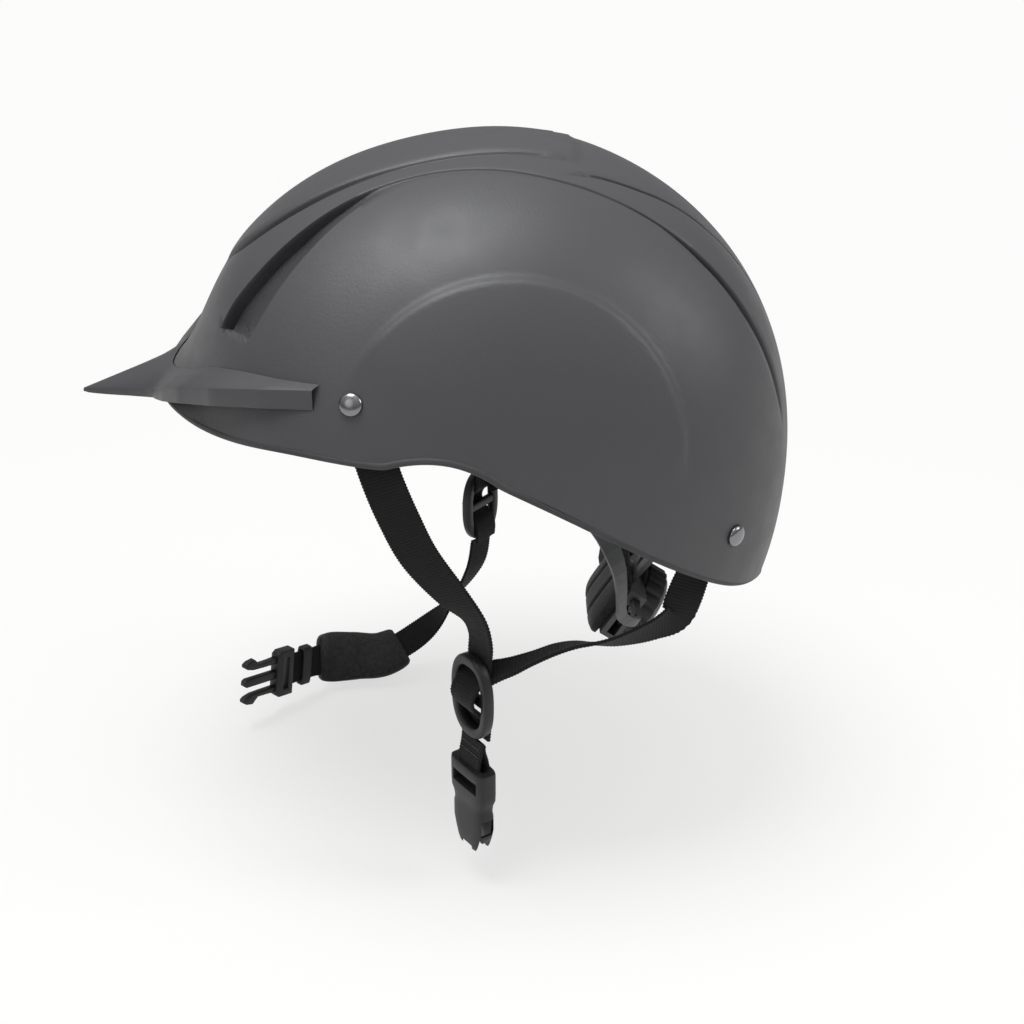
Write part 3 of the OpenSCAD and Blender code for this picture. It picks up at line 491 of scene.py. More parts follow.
def form(a, side, depth=0.0):
    """Point of the form at an angle round the axis and an angle off the middle, set in by a depth."""
    a, side, depth = np.broadcast_arrays(*(np.asarray(v, float) for v in (a, side, depth)))
    ra, rs = np.radians(a), np.radians(side)
    c, s = np.cos(rs), np.sin(rs)
    n = ROUNDNESS - FRONT_ROUND * (1 - ease((a - 30) / 50))
    k = (np.abs(c) ** n + np.abs(s) ** n) ** (-1 / n)
    r = (reach(a) - depth) * c * k
    return np.stack([(HALF_WIDTH - depth) * s * k, AXIS_Y - r * np.cos(ra), AXIS_Z + r * np.sin(ra)], -1)


def out_of(a, side):
    """Outward direction of the form."""
    u = form(a + 0.5, side) - form(a - 0.5, side)
    v = form(a, side + 0.5) - form(a, side - 0.5)
    n = unit(np.cross(v, u))
    facing = np.sign(np.sum(n * (form(a, side) - form(a, side, 5)), -1, keepdims=True))
    return n * facing


# Relief by the angle round the axis: edges and widths as angles off the middle, and depths

def leaf_edge(a):
    return curve([54, 60, 66, 74, 88, 102, 110, 117], [1.2, 7, 10, 11.5, 12, 11, 10, 9.5], a)


def tail_edge(a):
    return curve([116, 119, 126, 135, 148, 160], [16, 14, 11, 6.3, 3.2, 2.6], a)


def slot_edge(a):
    return curve([35, 52, 57, 64, 70, 76, 82, 88, 96, 105, 115, 130],
                 [19, 27.4, 27, 26, 24.4, 22.4, 20.3, 18.6, 17.5, 18, 19.5, 20], a)


def slot_width(a):
    return line([35, 50, 58, 64, 70, 76, 82, 88, 94, 130, 138, 147, 160, 169, 175],
                [2, 12, 11.6, 10.4, 9, 7.4, 5.4, 3.2, 1.2, 1, 2.2, 2.6, 2, 0.9, 2], a)


def slot_deep(a, side):
    foot = SLOT_FOOT + (np.abs(side) - slot_edge(SLOT_FOOT)) * 0.7
    return line([0, 1.2, 24, 35, 42, 48, 77, 85, 93, 110, 117, 119],
                [0, SLOT_DEPTH, SLOT_DEPTH, SLOT_DEPTH * 0.6, 0.9, 0.8, 0.9, TAIL_DEPTH * 0.7, TAIL_DEPTH,
                 TAIL_DEPTH * 0.7, 0.2, 0], a - foot)


def leaf_groove(a):
    share = line([53, 55, 60, 72, 82, 92, LEAF_END, LEAF_END + 1], [0, 0.5, 1, 1, 0.7, 0.4, 0.3, 0], a)
    return share * GROOVE_DEPTH


def leaf_groove_width(a):
    return line([54, 60, 75, 92, 117], [1.4, 3.8, 3.5, 2.1, 1], a)


def tail_deep(a):
    return line([115, 117, 126, 136, 148, 158], [0, 0.4, 0.8, 1, 0.7, 0], a) * TAIL_DEPTH * 0.7


def groove(side, edge, width, depth, lip=0.5):
    """Depth of a flat bottomed groove between two edges."""
    return depth * ease(np.minimum(side - edge, edge + width - side) / lip)


def grooves(a, side):
    s = np.abs(side)
    parts = [groove(s, leaf_edge(a), leaf_groove_width(a), leaf_groove(a)),
             groove(s, slot_edge(a), slot_width(a), slot_deep(a, side)),
             np.where(a > TAIL_FROM, groove(s, tail_edge(a), TAIL_WIDTH, tail_deep(a)), 0)]
    return np.maximum.reduce(parts)


def leaf(a, side):
    return (LEAF_RISE * ease((leaf_edge(a) + 0.1 - np.abs(side)) / 0.5) * ease((LEAF_END + 0.3 - a) / 1.2)
            * mix(0.55, 1, ease((a - 85) / 30)) * ease((a - 53) / 3))


def arch(p, side):
    dy, dz = p[..., 1] - ARCH_Y, p[..., 2] - ARCH_Z
    inside = ARCH_RADIUS - np.hypot(dy, dz)
    way = np.degrees(np.arctan2(dz, dy))
    return (ARCH_RISE * ease(inside / 2.2 + 0.5) * np.exp(-np.maximum(0, inside) / 24)
            * ease((152 - way) / 20) * ease((way + 12) / 20) * ease((np.abs(side) - 36) / 4))


def outside(a, side):
    return form(a, side, grooves(a, side) - leaf(a, side) - arch(form(a, side), side))


def inside(a, side):
    return form(a, side, SHELL_WALL + grooves(a, side))


def rim_part(side, full, power):
    """Share of the rim's reach that is left at an angle off the middle."""
    return np.maximum(0, 1 - np.minimum(1, np.abs(side) / full) ** power) ** (1 / power)


def front_rim(side, ahead=RIM_FRONT, full=RIM_SIDE):
    return MID_ANGLE - ahead * rim_part(side, full, RIM_FRONT_POWER)


def back_rim(side, behind=RIM_BACK, full=RIM_SIDE):
    return MID_ANGLE + behind * rim_part(side, full, RIM_BACK_POWER)


# Columns and rows of the shell's mesh, which follow the relief: marks, and counts from mark to mark
COLUMN_MARKS = [0, 8.6, 9.1, 9.9, 10.4, 19, 19.5, 20.5, 21, 34, 69]
COLUMN_COUNTS = [8, 4, 3, 4, 8, 4, 5, 4, 9, 50]
ROW_MARKS, ROW_COUNTS = [22.0, LEAF_END - 1.2, LEAF_END + 0.6, 191.0], [118, 6, 92]
INNER_SHORT = 0.6


def spread(marks, counts):
    """Numbers in even steps from mark to mark, with the last mark."""
    parts = [np.linspace(a, b, n, endpoint=False) for a, b, n in zip(marks, marks[1:], counts)]
    return np.append(np.concatenate(parts), marks[-1])


def column(a, s):
    """Angle off the middle of column s at angle a round the axis."""
    e1 = np.where(a > 119, mix(tail_edge(a), 8.6, ease((a - 150) / 20)),
                  np.where(a > 112, mix(leaf_edge(112.0), tail_edge(119.0), (a - 112) / 7),
                           np.where(a < 54, mix(8.6, leaf_edge(54.0), ease((a - 30) / 24)), leaf_edge(a))))
    w1 = np.where(a > TAIL_FROM, TAIL_WIDTH, np.where(a < 54, 1.2, leaf_groove_width(a)))
    e2, w2 = slot_edge(a), slot_width(a)
    marks = [0 * a, e1, e1 + 0.5, e1 + np.maximum(0.5, w1 - 0.5), e1 + np.maximum(0.6, w1), e2, e2 + 0.4,
             e2 + np.maximum(0.4, w2 - 0.4), e2 + w2, 48 + 0 * a, 80 + 0 * a]
    keys = COLUMN_MARKS[:9] + [48, 80]
    s, a = np.broadcast_arrays(s, a)
    out = np.zeros(s.shape)
    size = np.abs(s)
    for k in range(len(keys) - 1):
        here = (size >= keys[k]) & (size <= keys[k + 1])
        t = (size - keys[k]) / (keys[k + 1] - keys[k])
        out = np.where(here, mix(marks[k], marks[k + 1], t), out)
    return np.sign(s) * out


def shell_angles(setin):
    """Angles round the axis and off the middle of a grid on the shell, whose rim is set in a little."""
    half = spread(COLUMN_MARKS, COLUMN_COUNTS)
    s = np.concatenate([-half[:0:-1], half])[:, None]
    t = ((spread(ROW_MARKS, ROW_COUNTS) - ROW_MARKS[0]) / (ROW_MARKS[-1] - ROW_MARKS[0]))[None, :]
    a = mix(front_rim(s, RIM_FRONT - setin), back_rim(s, RIM_BACK - setin), t)
    near = np.minimum(1, np.minimum(t, 1 - t) * 9)
    return a, mix(s + 0 * a, column(a, s), ease(near))


OUTER_ANGLES = shell_angles(0.0)
OUTER_GRID = outside(*OUTER_ANGLES)
OUTER_DEPTH = grooves(*OUTER_ANGLES)
INNER_GRID = inside(*shell_angles(INNER_SHORT))


def make_shell():
    """The shell, which keeps each outer point's depth in a groove for the shade painted on the groove floors.
    """
    shell = between("shell_body", OUTER_GRID, INNER_GRID, SHELL, sharp=55)
    depths = np.zeros(len(shell.data.vertices))
    depths[:OUTER_DEPTH.size] = OUTER_DEPTH.reshape(-1)
    shell.data.attributes.new(GROOVE_SHADE_MARK, "FLOAT", "POINT").data.foreach_set("value", depths)
    finish_piece(shell, "helmet", "shell", "shell")


# Bead on the rim: lap over the shell's faces, middle below the rim, half height and power of its rounding
BEAD_LIP, BEAD_DROP, BEAD_HALF, BEAD_SQUARE = 0.45, 0.9, 1.4, 0.7


def smoothed(points, passes=6):
    """A closed path with its small kinks evened out."""
    for _ in range(passes):
        points = points * 0.5 + (np.roll(points, 1, 0) + np.roll(points, -1, 0)) * 0.25
    return points


def make_trim():
    """Rolled bead along the rim."""
    loop = edge_loop(*OUTER_GRID.shape[:2])[::2]
    o, i = smoothed(OUTER_GRID.reshape(-1, 3)[loop]), smoothed(INNER_GRID.reshape(-1, 3)[loop])
    ahead = unit(np.roll(o, -1, 0) - np.roll(o, 1, 0))
    across = unit(o - i)
    down = unit(np.cross(ahead, across))
    half = np.linalg.norm(o - i, axis=1, keepdims=True) / 2
    rings = [(o + i) / 2 + across * (half + BEAD_LIP) * rounded(cos(t), BEAD_SQUARE)
             + down * (BEAD_DROP + BEAD_HALF * rounded(sin(t), BEAD_SQUARE)) for t in around(16)]
    finish_piece(swept("rim_trim", np.stack(rings, 1), TRIM, closed=True), "helmet", "trim", "edge_trim")


# Peak: angle that it wraps, thickness of its ends and tip, gap to the shell, depth of its seat in the middle,
# how far its ends stand off the shell, rise of its ridge and rounding of its edges
PEAK_WRAP, PEAK_END, PEAK_TIP, PEAK_GAP = 54.0, 7.5, 1.6, 0.5
PEAK_ROOT, PEAK_STAND, PEAK_RIDGE, PEAK_SOFT = 3.0, 3.0, 1.1, 0.45

# Stations from its middle to its ends: off the middle, forward, height of its edge and height of its seat
PEAK_X = [0, 10, 15, 20, 30, 45, 62, 80, 92, 96.5]
PEAK_Y = [-130, -109, -101.3, -97.6, -94.4, -88.5, -79, -63.5, -43, -25]
PEAK_TOP = [-11, -7.4, -5.6, -3.6, 0.2, 5.8, 12.3, 19, 23.2, 24.6]
PEAK_SEAT = [3, 3.6, 4.4, 5.4, 8, 12.8, 19.3, 24, 25.2, 25.4]


def angle_at_height(side, z):
    """Angle round the axis at which the form's front reaches a height."""
    low, high = np.full_like(z, 5.0), np.full_like(z, 95.0)
    for _ in range(30):
        mid = (low + high) / 2
        below = form(mid, side)[..., 2] < z
        low, high = np.where(below, mid, low), np.where(below, high, mid)
    return (low + high) / 2


def peak_rings(q):
    """Lines of the peak's corners, at places from -1 to 1 across it."""
    side = PEAK_WRAP * q
    x = np.abs(form(90.0, side)[..., 0]) + PEAK_STAND * np.abs(q)
    seat, edge = curve(PEAK_X, PEAK_SEAT, x), curve(PEAK_X, PEAK_TOP, x)
    deep = mix(PEAK_ROOT, PEAK_END, np.abs(q))
    thin = mix(PEAK_TIP, PEAK_END, np.abs(q) ** 0.5)
    outer = np.stack([np.sign(q) * x, AXIS_Y + line(PEAK_X, PEAK_Y, x), edge], -1)
    top = form(angle_at_height(side, seat), side, -PEAK_GAP)
    foot = form(angle_at_height(side, seat - deep), side, -PEAK_GAP)
    back = form(angle_at_height(side, seat - deep / 2), side, -0.12)
    up = np.array([0, 0, 1.0])
    crease = mix(top, outer, 0.45) + up * (PEAK_RIDGE * (1 - np.abs(q)))[:, None]
    low = outer - up * thin[:, None]
    under = mix(foot, low, 0.4) + up * 0.8
    return top, crease, outer, low, under, foot, back


def make_peak():
    q = rounded(np.linspace(-1, 1, 121), 1.15)
    top, crease, outer, low, under, foot, back = peak_rings(q)
    inward = unit(crease - outer) * PEAK_SOFT
    rise = np.array([0, 0, PEAK_SOFT])
    ring = [top, mix(top, crease, 0.5), mix(top, crease, 0.94), mix(crease, outer, 0.06),
            mix(crease, outer, 0.5), outer + inward, outer + (inward - rise) * 0.3, outer - rise, low + rise,
            low + (rise + inward) * 0.3, low + inward, mix(low, under, 0.5), under, foot, back]
    finish_piece(swept("peak_body", np.stack(ring, 1), PEAK, sharp=50), "helmet", "peak", "peak")


make_shell()
make_trim()
make_peak()


# Rivets

def placed(origin, x, y, z):
    """A placing function from a local frame to the row frame."""
    basis = np.stack([x, y, z])

    def place(points):
        return np.asarray(points, float) @ basis + origin
    return place


def across_from(way):
    """Upward direction at right angles to a way."""
    return unit(np.array([0, 0, 1.0]) - way * way[2])


def rivet_profile():
    """Radius and height of the foot, the short wall and the dome."""
    r = RIVET_RADIUS
    angles = [radians(90 * k / 12) for k in range(1, 12)]
    dome = [(r * cos(t) ** 0.9, RIVET_WALL + RIVET_DOME * sin(t)) for t in angles]
    foot = [(0, 0.3), (r - 0.15, 0.3), (r, 0.42), (r, RIVET_WALL)]
    return foot + dome + [(0, RIVET_WALL + RIVET_DOME)]


def rivet_place(spot, side):
    a, s = spot[0], spot[1] * side
    z = out_of(a, s)
    x = across_from(z)
    return placed(form(a, s), x, np.cross(z, x), z)


def make_rivets(name, spot, node):
    """Heads on both sides, of which the left one stands for the node."""
    for side_name, side in SIDES:
        head = lathe(f"{name}_{side_name}", rivet_profile(), CHROME, 56, rivet_place(spot, side))
        finish_piece(head, "helmet", "rivet", *([node] if side > 0 else []))


make_rivets("front_rivet", FRONT_RIVET, "front_rivets")
make_rivets("rear_rivet", REAR_RIVET, "rear_rivets")


# Liner of bead foam, whose rim lies short of the shell's and leans in
FOAM_SHORT, FOAM_TUCK = 1.5, 6.0
FOAM_AHEAD, FOAM_BEHIND, FOAM_SIDE = RIM_FRONT - FOAM_SHORT, RIM_BACK - FOAM_SHORT, RIM_SIDE - FOAM_SHORT
STRAP_ROOM, CHANNEL_DEPTH = 3.6, 2.2


def window(x, low, high, soft):
    """1 between two limits and 0 outside them, with soft steps."""
    return ease((x - low + soft) / soft) * ease((high + soft - x) / soft)


def foam_relief(a, side):
    """How far the liner is lowered under the grooves and the riveted straps."""
    s = np.abs(side)
    ridge = (GROOVE_DEPTH + 1.6) * ease((33 - s) / 6)
    slot = ((SLOT_DEPTH + 0.6) * ease((s - 13) / 5) * ease((47 - s) / 6)
            * ease((a - 42) / 5) * ease((100 - a) / 8))
    front = window(a, 72, 92, 4) * window(s, 50, 75, 3)
    rear = window(a, 164, 195, 4) * window(s, 33, 56, 3)
    return np.maximum(np.maximum(ridge, slot), STRAP_ROOM * np.maximum(front, rear))


def foam_angles(full, ahead):
    """Angles of a grid on the liner, from how far it reaches to the sides and ahead."""
    s = np.linspace(-1, 1, 97)[:, None] * (full - FOAM_SHORT)
    t = np.linspace(0, 1, 121)[None, :]
    return mix(front_rim(s, ahead, full), back_rim(s, FOAM_BEHIND, full), t), s


def make_foam():
    a, s = foam_angles(FOAM_SIDE, FOAM_AHEAD)
    outer = form(a, s, FOAM_OUTSIDE + foam_relief(a, s))
    a, s = foam_angles(FOAM_SIDE - FOAM_TUCK, FOAM_AHEAD - FOAM_TUCK - FOAM_SHORT)
    channel = CHANNEL_DEPTH * window(np.abs(s), 22, 31, 2.5) * window(a, 62, 150, 5)
    foam = between("foam_body", outer, form(a, s, FOAM_INSIDE - channel), FOAM, sharp=50)
    finish_piece(foam, "helmet", "foam", "foam_liner")


# Pads stuck to the liner

def crowned(name, angles, sides, nu, nv, *seams):
    """Pad on the form with a crowned face, rounded corners and pressed seams."""
    i, j = np.linspace(-1, 1, nu)[:, None], np.linspace(-1, 1, nv)[None, :]
    wide = np.maximum(0, 1 - i ** 8 * 0.18 * np.abs(j) ** 6)
    long = np.maximum(0, 1 - np.abs(j) ** 8 * 0.12 * i ** 6)
    side, a = mix(*sides, (i * wide + 1) / 2), mix(*angles, (j * long + 1) / 2)
    plump = plumpness(i, j)
    rim = ease((np.maximum(np.abs(i), np.abs(j)) - 0.86) / 0.05)
    face = PAD_THICKNESS * (0.30 + 0.70 * plump * (1 - 0.55 * rim))
    for seam in seams:
        face = face - SEAM_DEPTH * np.exp(-((i if seam == "side" else j) / SEAM_WIDTH) ** 2) * plump
    depth = FOAM_INSIDE + PAD_GAP
    return between(name, form(a, side, depth), form(a, side, depth + face), KNIT, sharp=70)


def make_pads():
    crown = crowned("crown_pad_body", (80, 124), (-20, 20), 61, 61, "side", "row")
    finish_piece(crown, "helmet", "pad", "crown_pad", pad=0.7)
    for name, side in SIDES:
        pad = crowned(f"side_pad_{name}_body", (78, 126), (36 * side, 54 * side), 37, 61, "row")
        finish_piece(pad, "helmet", "pad", f"side_pad_{name}", pad=0.7)


make_foam()
make_pads()


# Headband and brow pad

def band_point(a, out):
    """Point of the headband's oval at an angle from the front, moved out by a length."""
    r = radians(a)
    return (BAND_HALF_WIDTH + out) * sin(r), BAND_Y - (BAND_REACH + out) * cos(r)


def band_rings(angles, section):
    """Rings round the oval, from a section of (out, up) points at each angle."""
    return [[(*band_point(a, out), BAND_Z + up) for out, up in section(a)] for a in angles]


def make_headband():
    h, t, r = BAND_HEIGHT / 2, BAND_THICKNESS, 0.4
    shape = [(-r, -h), (0, -h + r), (0, h - r), (-r, h), (-t + r, h), (-t, h - r), (-t, -h + r), (-t + r, -h)]

    def section(a):
        taper = 1 - 0.35 * ease((abs(a) - 80) / 18)
        return [(out, up * taper) for out, up in shape]
    band = swept("headband_body", band_rings(np.linspace(-98, 98, 99), section), FIT, sharp=40)
    finish_piece(band, "helmet", "fit_plastic", "headband")

    def pad_section(a):
        full = max(0.0, 1 - abs(a / 62) ** 4) ** 0.5
        dimple = 0.75 + 0.25 * cos(radians(a * 360 / 15.5)) * (1 if abs(a) < 58 else 0)
        thick = PAD_THICKNESS * (0.30 + 0.62 * full * dimple)
        high = BAND_HEIGHT / 2 + 2 * full
        back = -BAND_THICKNESS - 0.3
        arc = [(back - thick * (0.25 + 0.75 * max(0.0, cos(g)) ** 0.6), high * rounded(sin(g), 0.8))
               for g in np.radians(np.linspace(-90, 90, 15))]
        return [(back, -high * 0.98)] + arc + [(back, high * 0.98)]
    pad = swept("brow_pad_body", band_rings(np.linspace(-62, 62, 125), pad_section), KNIT, sharp=60)
    finish_piece(pad, "helmet", "pad", "brow_pad", pad=0.7)


make_headband()


# Webbing

def ribbon(name, route, across, width=WEB_WIDTH, thickness=WEB_THICKNESS):
    """Ribbed webbing along given points, with the direction of its width at each."""
    path, place, run = even_path(route, WEB_SPACING)
    ways = smooth_path(across)
    wide = unit(resampled(ways, np.linspace(0, len(route) - 1, len(ways)), place))
    along = unit(np.gradient(path, axis=0))
    u = unit(wide - along * np.sum(wide * along, -1, keepdims=True))
    n = np.cross(along, u)
    beat = RIB_RISE * np.cos(2 * pi * run / RIB_PITCH)
    half_t, half_w = thickness / 2 * (1 + beat), width / 2 + beat
    edge = [(1, 0.25), (0.975, 0.75), (0.92, 1), (0.84, 0.86), (0.5, 1)]
    section = [(-c, h) for c, h in edge] + [(0, 1)] + edge[::-1]
    section += [(c, -h) for c, h in reversed(section)]
    rings = [path + u * (half_w * c)[:, None] + n * (half_t * h)[:, None] for c, h in section]
    uvs = [np.stack([np.full(len(run), width / 2 * c), run], -1) for c, _ in section]
    strap = swept(name, np.stack(rings, 1), WEBBING, uvs=np.stack(uvs, 1).reshape(-1, 2), sharp=60)
    return strap, path, u, n, place


# Stitches: radius, step from one to the next and half length
STITCH_RADIUS, STITCH_STEP = 0.28, 11 / 7
STITCH_HALF = 0.38 * STITCH_STEP


def stitch(a, b, up):
    """One stitch from a to b that stands a little proud of the cloth."""
    side = np.cross(up, unit(b - a))
    rings = []
    for t in np.linspace(-1, 1, 7):
        r = STITCH_RADIUS * sqrt(max(0.06, 1 - t * t))
        middle = mix(a, b, (t + 1) / 2)
        rings.append([middle + side * r * cos(w) + up * r * sin(w) * 0.8 for w in around(6)])
    return swept("stitch", rings, THREAD)


def join(name, parts):
    """Several meshes of one material as one object."""
    points, faces = [], []
    for p in parts:
        base = len(points)
        points += [tuple(v.co) for v in p.data.vertices]
        faces += [[base + k for k in f.vertices] for f in p.data.polygons]
    material = parts[0].data.materials[0]
    for p in parts:
        bpy.data.objects.remove(p, do_unlink=True)
    return mesh_object(name, np.array(points) / MM, faces, material, sharp=60)


# Ways across the turned harness fittings and out of their front face
TURNED = np.array([cos(radians(TURN)), sin(radians(TURN)), 0.0])
FACE = np.array([TURNED[1], -TURNED[0], 0.0])
DIVIDER_FOOT = DIVIDER[2] - DIVIDER_HEIGHT / 2


def harness_frame(origin, side):
    """Local frame of the harness fittings: X across the webbing, Y up, Z out of the front face."""
    parts = np.array([origin, TURNED, (0, 0, 1), FACE], float)
    return placed(*(parts if side > 0 else mirrored(parts)))


# Routes of the straps, along listed points measured from the line that the divider hangs on

def hung(points, side=1):
    return list(np.array(points, float) + [side * DIVIDER[0], 0, 0])


FRONT_ROUTE = hung([
    (10.8, -24, -24), (8, -17.5, -40), (4, -7, -57), (1.5, 1.5, -69), (0, 4.2, -78), (-1.5, 4, -86),
    (-1.72, 3.46, -91)])
FRONT_ACROSS = [
    [0.1, 1, 0.2], [0, 1, 0.3], [0, 1, 0.45], [0, 1, 0.5], [0.15, 1, 0.6], [0.45, 0.8, 0.6],
    [0.75, 0.6, 0.35], [0.82, 0.57, 0.1], [0.82, 0.57, 0], [0.82, 0.57, 0]]
REAR_ROUTE = [HOOK_REAR + [1.295, -2.422, -6.44]] + hung([
    (-6.6, 71.5, -76.8), (-3.6, 64, -78.4), (-1.6, 56, -79.8), (-0.4, 48, -80.4), (0, 40, -80.8),
    (0, 32, -83), (0, 24, -86.6), (0, 17, -89.8), (0, 10.8, -92)])
REAR_ACROSS = [
    [-0.55, 0.75, 0.3], [-0.4, 0.8, 0.1], [-0.2, 0.9, -0.38], [-0.42, 0.82, -0.4], [-0.6, 0.55, -0.6],
    [-0.66, 0.35, -0.66], [-0.74, 0.15, -0.62], [-0.85, 0.03, -0.5], [-0.92, 0, -0.36], [-0.95, 0, -0.25],
    [-0.98, 0, -0.19], [-0.95, -0.15, -0.12], [-0.88, -0.35, -0.08]]


# Where the front strap threads the divider, and where the rear strap ends behind it, in the divider's frame
THREADED = [(0, 9.4, -2.2), (0, 6.9, 1.0), (0, 4.3, 3.6), (0, 1.0, 4.7), (0, -2.4, 3.7), (0, -5.4, 1.0),
            (0, -8.2, -1.8), (0, -12.6, -3.0), (0, -17.9, -2.6)]
TUCKED = [(3.6, 9.6, -5.6), (2.0, 8.6, -3.9)]

# How deep a strap starts between shell and liner, and lengths above and below the rim whose points are worked
# out but not used
STRAP_DEPTH, BEND_ABOVE, BEND_BELOW = FOAM_OUTSIDE + 0.5 + WEB_THICKNESS / 2, 6.0, 16.0


def make_straps(name, side):
    """Front and rear strap of one side, each one length of webbing from its rivet to the divider."""
    flip = np.array if side > 0 else mirrored
    place = harness_frame(DIVIDER, 1)
    for which, spot, hook, bow, route, across, end, end_across in (
            ("front", (82, 60.5), HOOK_FRONT, 0.4, FRONT_ROUTE, FRONT_ACROSS, THREADED, TURNED),
            ("rear", (176, 41), HOOK_REAR, -1.2, REAR_ROUTE, REAR_ACROSS, TUCKED, REAR_ACROSS[-1])):
        top = form(*spot, STRAP_DEPTH)
        points = [top, mix(top, hook, 0.5) + out_of(*spot) * bow, hook] + route + list(place(end))
        ways = across + [end_across] * len(end)
        strap = ribbon(f"{which}_webbing_{name}", flip(points), flip(ways))[0]
        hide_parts(f"{which}_strap_{name}")
        if which == "front" and side > 0:
            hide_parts("strap_tops")
        below = hook + (route[0] - hook) * min(1, BEND_BELOW / np.linalg.norm(route[0] - hook))
        tuple(flip(hook + [0, 0, BEND_ABOVE]) * MM)
        tuple(flip(below) * MM)
        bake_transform(strap)


for side_name, side in SIDES:
    make_straps(side_name, side)


# Divider: an oval slider with a bar that the webbing wraps

def oval(width, height, n=64, squareness=2.4):
    """Outline of a soft rectangle."""
    t = around(n)
    return np.stack([width / 2 * rounded(np.cos(t), 2 / squareness),
                     height / 2 * rounded(np.sin(t), 2 / squareness)], -1)


def ring_solid(name, outer, inner, thickness, material, place, edge):
    """Flat ring between two outlines with rounded edges."""
    half = thickness / 2

    def layer(shape, other, setin, z):
        return np.concatenate([shape + unit(other - shape) * setin, np.full((len(shape), 1), z)], 1)
    steps = [(edge, -half), (edge * 0.3, -half + edge * 0.3), (0, -half + edge), (0, half - edge),
             (edge * 0.3, half - edge * 0.3), (edge, half)]
    layers = [layer(outer, inner, *s) for s in steps] + [layer(inner, outer, *s) for s in reversed(steps)]
    return swept(name, place(np.stack(layers, 1)), material, closed=True, sharp=50)


# Thickness and rounding of the divider, and half sizes of its bar
DIVIDER_THICKNESS, DIVIDER_EDGE = 4.4, 0.9
BAR_LENGTH, BAR_WIDTH, BAR_DEPTH = 9.5, 2.1, 1.6


def make_divider(name, side):
    place = harness_frame(DIVIDER, side)
    outer = oval(DIVIDER_WIDTH, DIVIDER_HEIGHT)
    inner = oval(DIVIDER_WIDTH - 7.5, DIVIDER_HEIGHT - 9, squareness=2.8)
    bar = [[(x, -BAR_WIDTH * rounded(cos(g), 0.6), BAR_DEPTH * rounded(sin(g), 0.6)) for g in around(16)]
           for x in np.linspace(-BAR_LENGTH, BAR_LENGTH, 9)]
    parts = [ring_solid("divider_ring", outer, inner, DIVIDER_THICKNESS, BUCKLE, place, DIVIDER_EDGE),
             swept("divider_bar", place(bar), BUCKLE, sharp=60)]
    finish_piece(join(f"divider_body_{name}", parts), f"harness_{name}", "buckle", f"divider_{name}")


for side_name, side in SIDES:
    make_divider(side_name, side)


# Buckle socket on the left, with its stations down from its mouth as depth, share of width and of thickness
SOCKET_TOP = DIVIDER_FOOT - 13
TAIL_GAP, SOCKET_WALL = 0.9, 1.6
SOCKET_STATIONS = [
    (0, 1, 0.92), (-1, 1, 1), (-10, 1, 1), (-13, 0.98, 1), (-15.5, 0.88, 0.9), (-18.5, 0.84, 0.86),
    (-20.5, 0.9, 0.88), (-27, 0.9, 0.88), (-31, 0.8, 0.86), (-35, 0.66, 0.84), (-37.2, 0.58, 0.76),
    (-38, 0.5, 0.6)]

# Route of the short strap that joins it to the divider, round its bar
LOWER_ROUTE = [
    (0, 12.1, 0), (0, 8, 0.5), (0, 3, 1.6), (0, -1.5, 2), (0, -5, 2.4), (0, -7.2, 0.8), (0, -7, -1.2),
    (0, -4.5, -2.4), (0, 0, -2.6), (0, 4, -2), (0, 8, -0.9), (0, 11, -0.9)]


def extruded(name, outline, half, place):
    """Plate with an outline, as thick as twice half."""
    n = len(outline)
    points = [(x, y, z) for z in (-half, half) for x, y in outline]
    faces = [list(range(n - 1, -1, -1)), list(range(n, 2 * n))]
    faces += [[k, (k + 1) % n, n + (k + 1) % n, n + k] for k in range(n)]
    return outward(mesh_object(name, place(points), faces, BUCKLE, smooth=False))


def cutter(x, low, high, half, place):
    """Box from -x to x, from low to high and from -half to half."""
    return extruded("cutter", [(-x, low), (x, low), (x, high), (-x, high)], half, place)


def make_socket(place):
    w, t, length = BUCKLE_WIDTH, BUCKLE_THICKNESS, SOCKET_LENGTH
    rings = [[(x, y, z) for x, z in oval(w * wide, t * thick, 48, 4.2)] for y, wide, thick in SOCKET_STATIONS]
    body = swept("buckle_socket_body", place(rings), BUCKLE, sharp=50)
    hollow = t / 2 - SOCKET_WALL
    cut(body,
        cutter(8, -9.5, -4.2, t, place),
        cutter(8, -2.6, 2, 1.1, place),
        cutter(w / 2 - 3, -length - 2, -13, hollow, place),
        cutter(w, -length * 0.76, -length * 0.56, hollow, place),
        cutter(3.5, -length - 2, -length + 2.5, t, place))
    finish_piece(bevel(body, 0.35), "tail_left", "buckle", "buckle_socket")


def make_lower_strap(place):
    """Short strap on the socket with its two rows of stitches."""
    ways = [TURNED] * len(LOWER_ROUTE)
    web = ribbon("lower_webbing_left", place(LOWER_ROUTE), ways, WEB_WIDTH - 0.8, 1.2)[0]
    finish_piece(web, "tail_left", "webbing", "lower_strap_left")
    ends = [[(x - STITCH_HALF, y, z), (x + STITCH_HALF, y, z)] for y, z in ((6, 1.75), (9, 1.15))
            for x in STITCH_STEP * np.arange(-3, 4)]
    stitches = join("lower_stitches_left", [stitch(*place(pair), FACE) for pair in ends])
    finish_piece(stitches, "tail_left", "webbing")


SOCKET_PLACE = harness_frame((DIVIDER[0], DIVIDER[1], SOCKET_TOP), 1)
make_socket(SOCKET_PLACE)
make_lower_strap(SOCKET_PLACE)


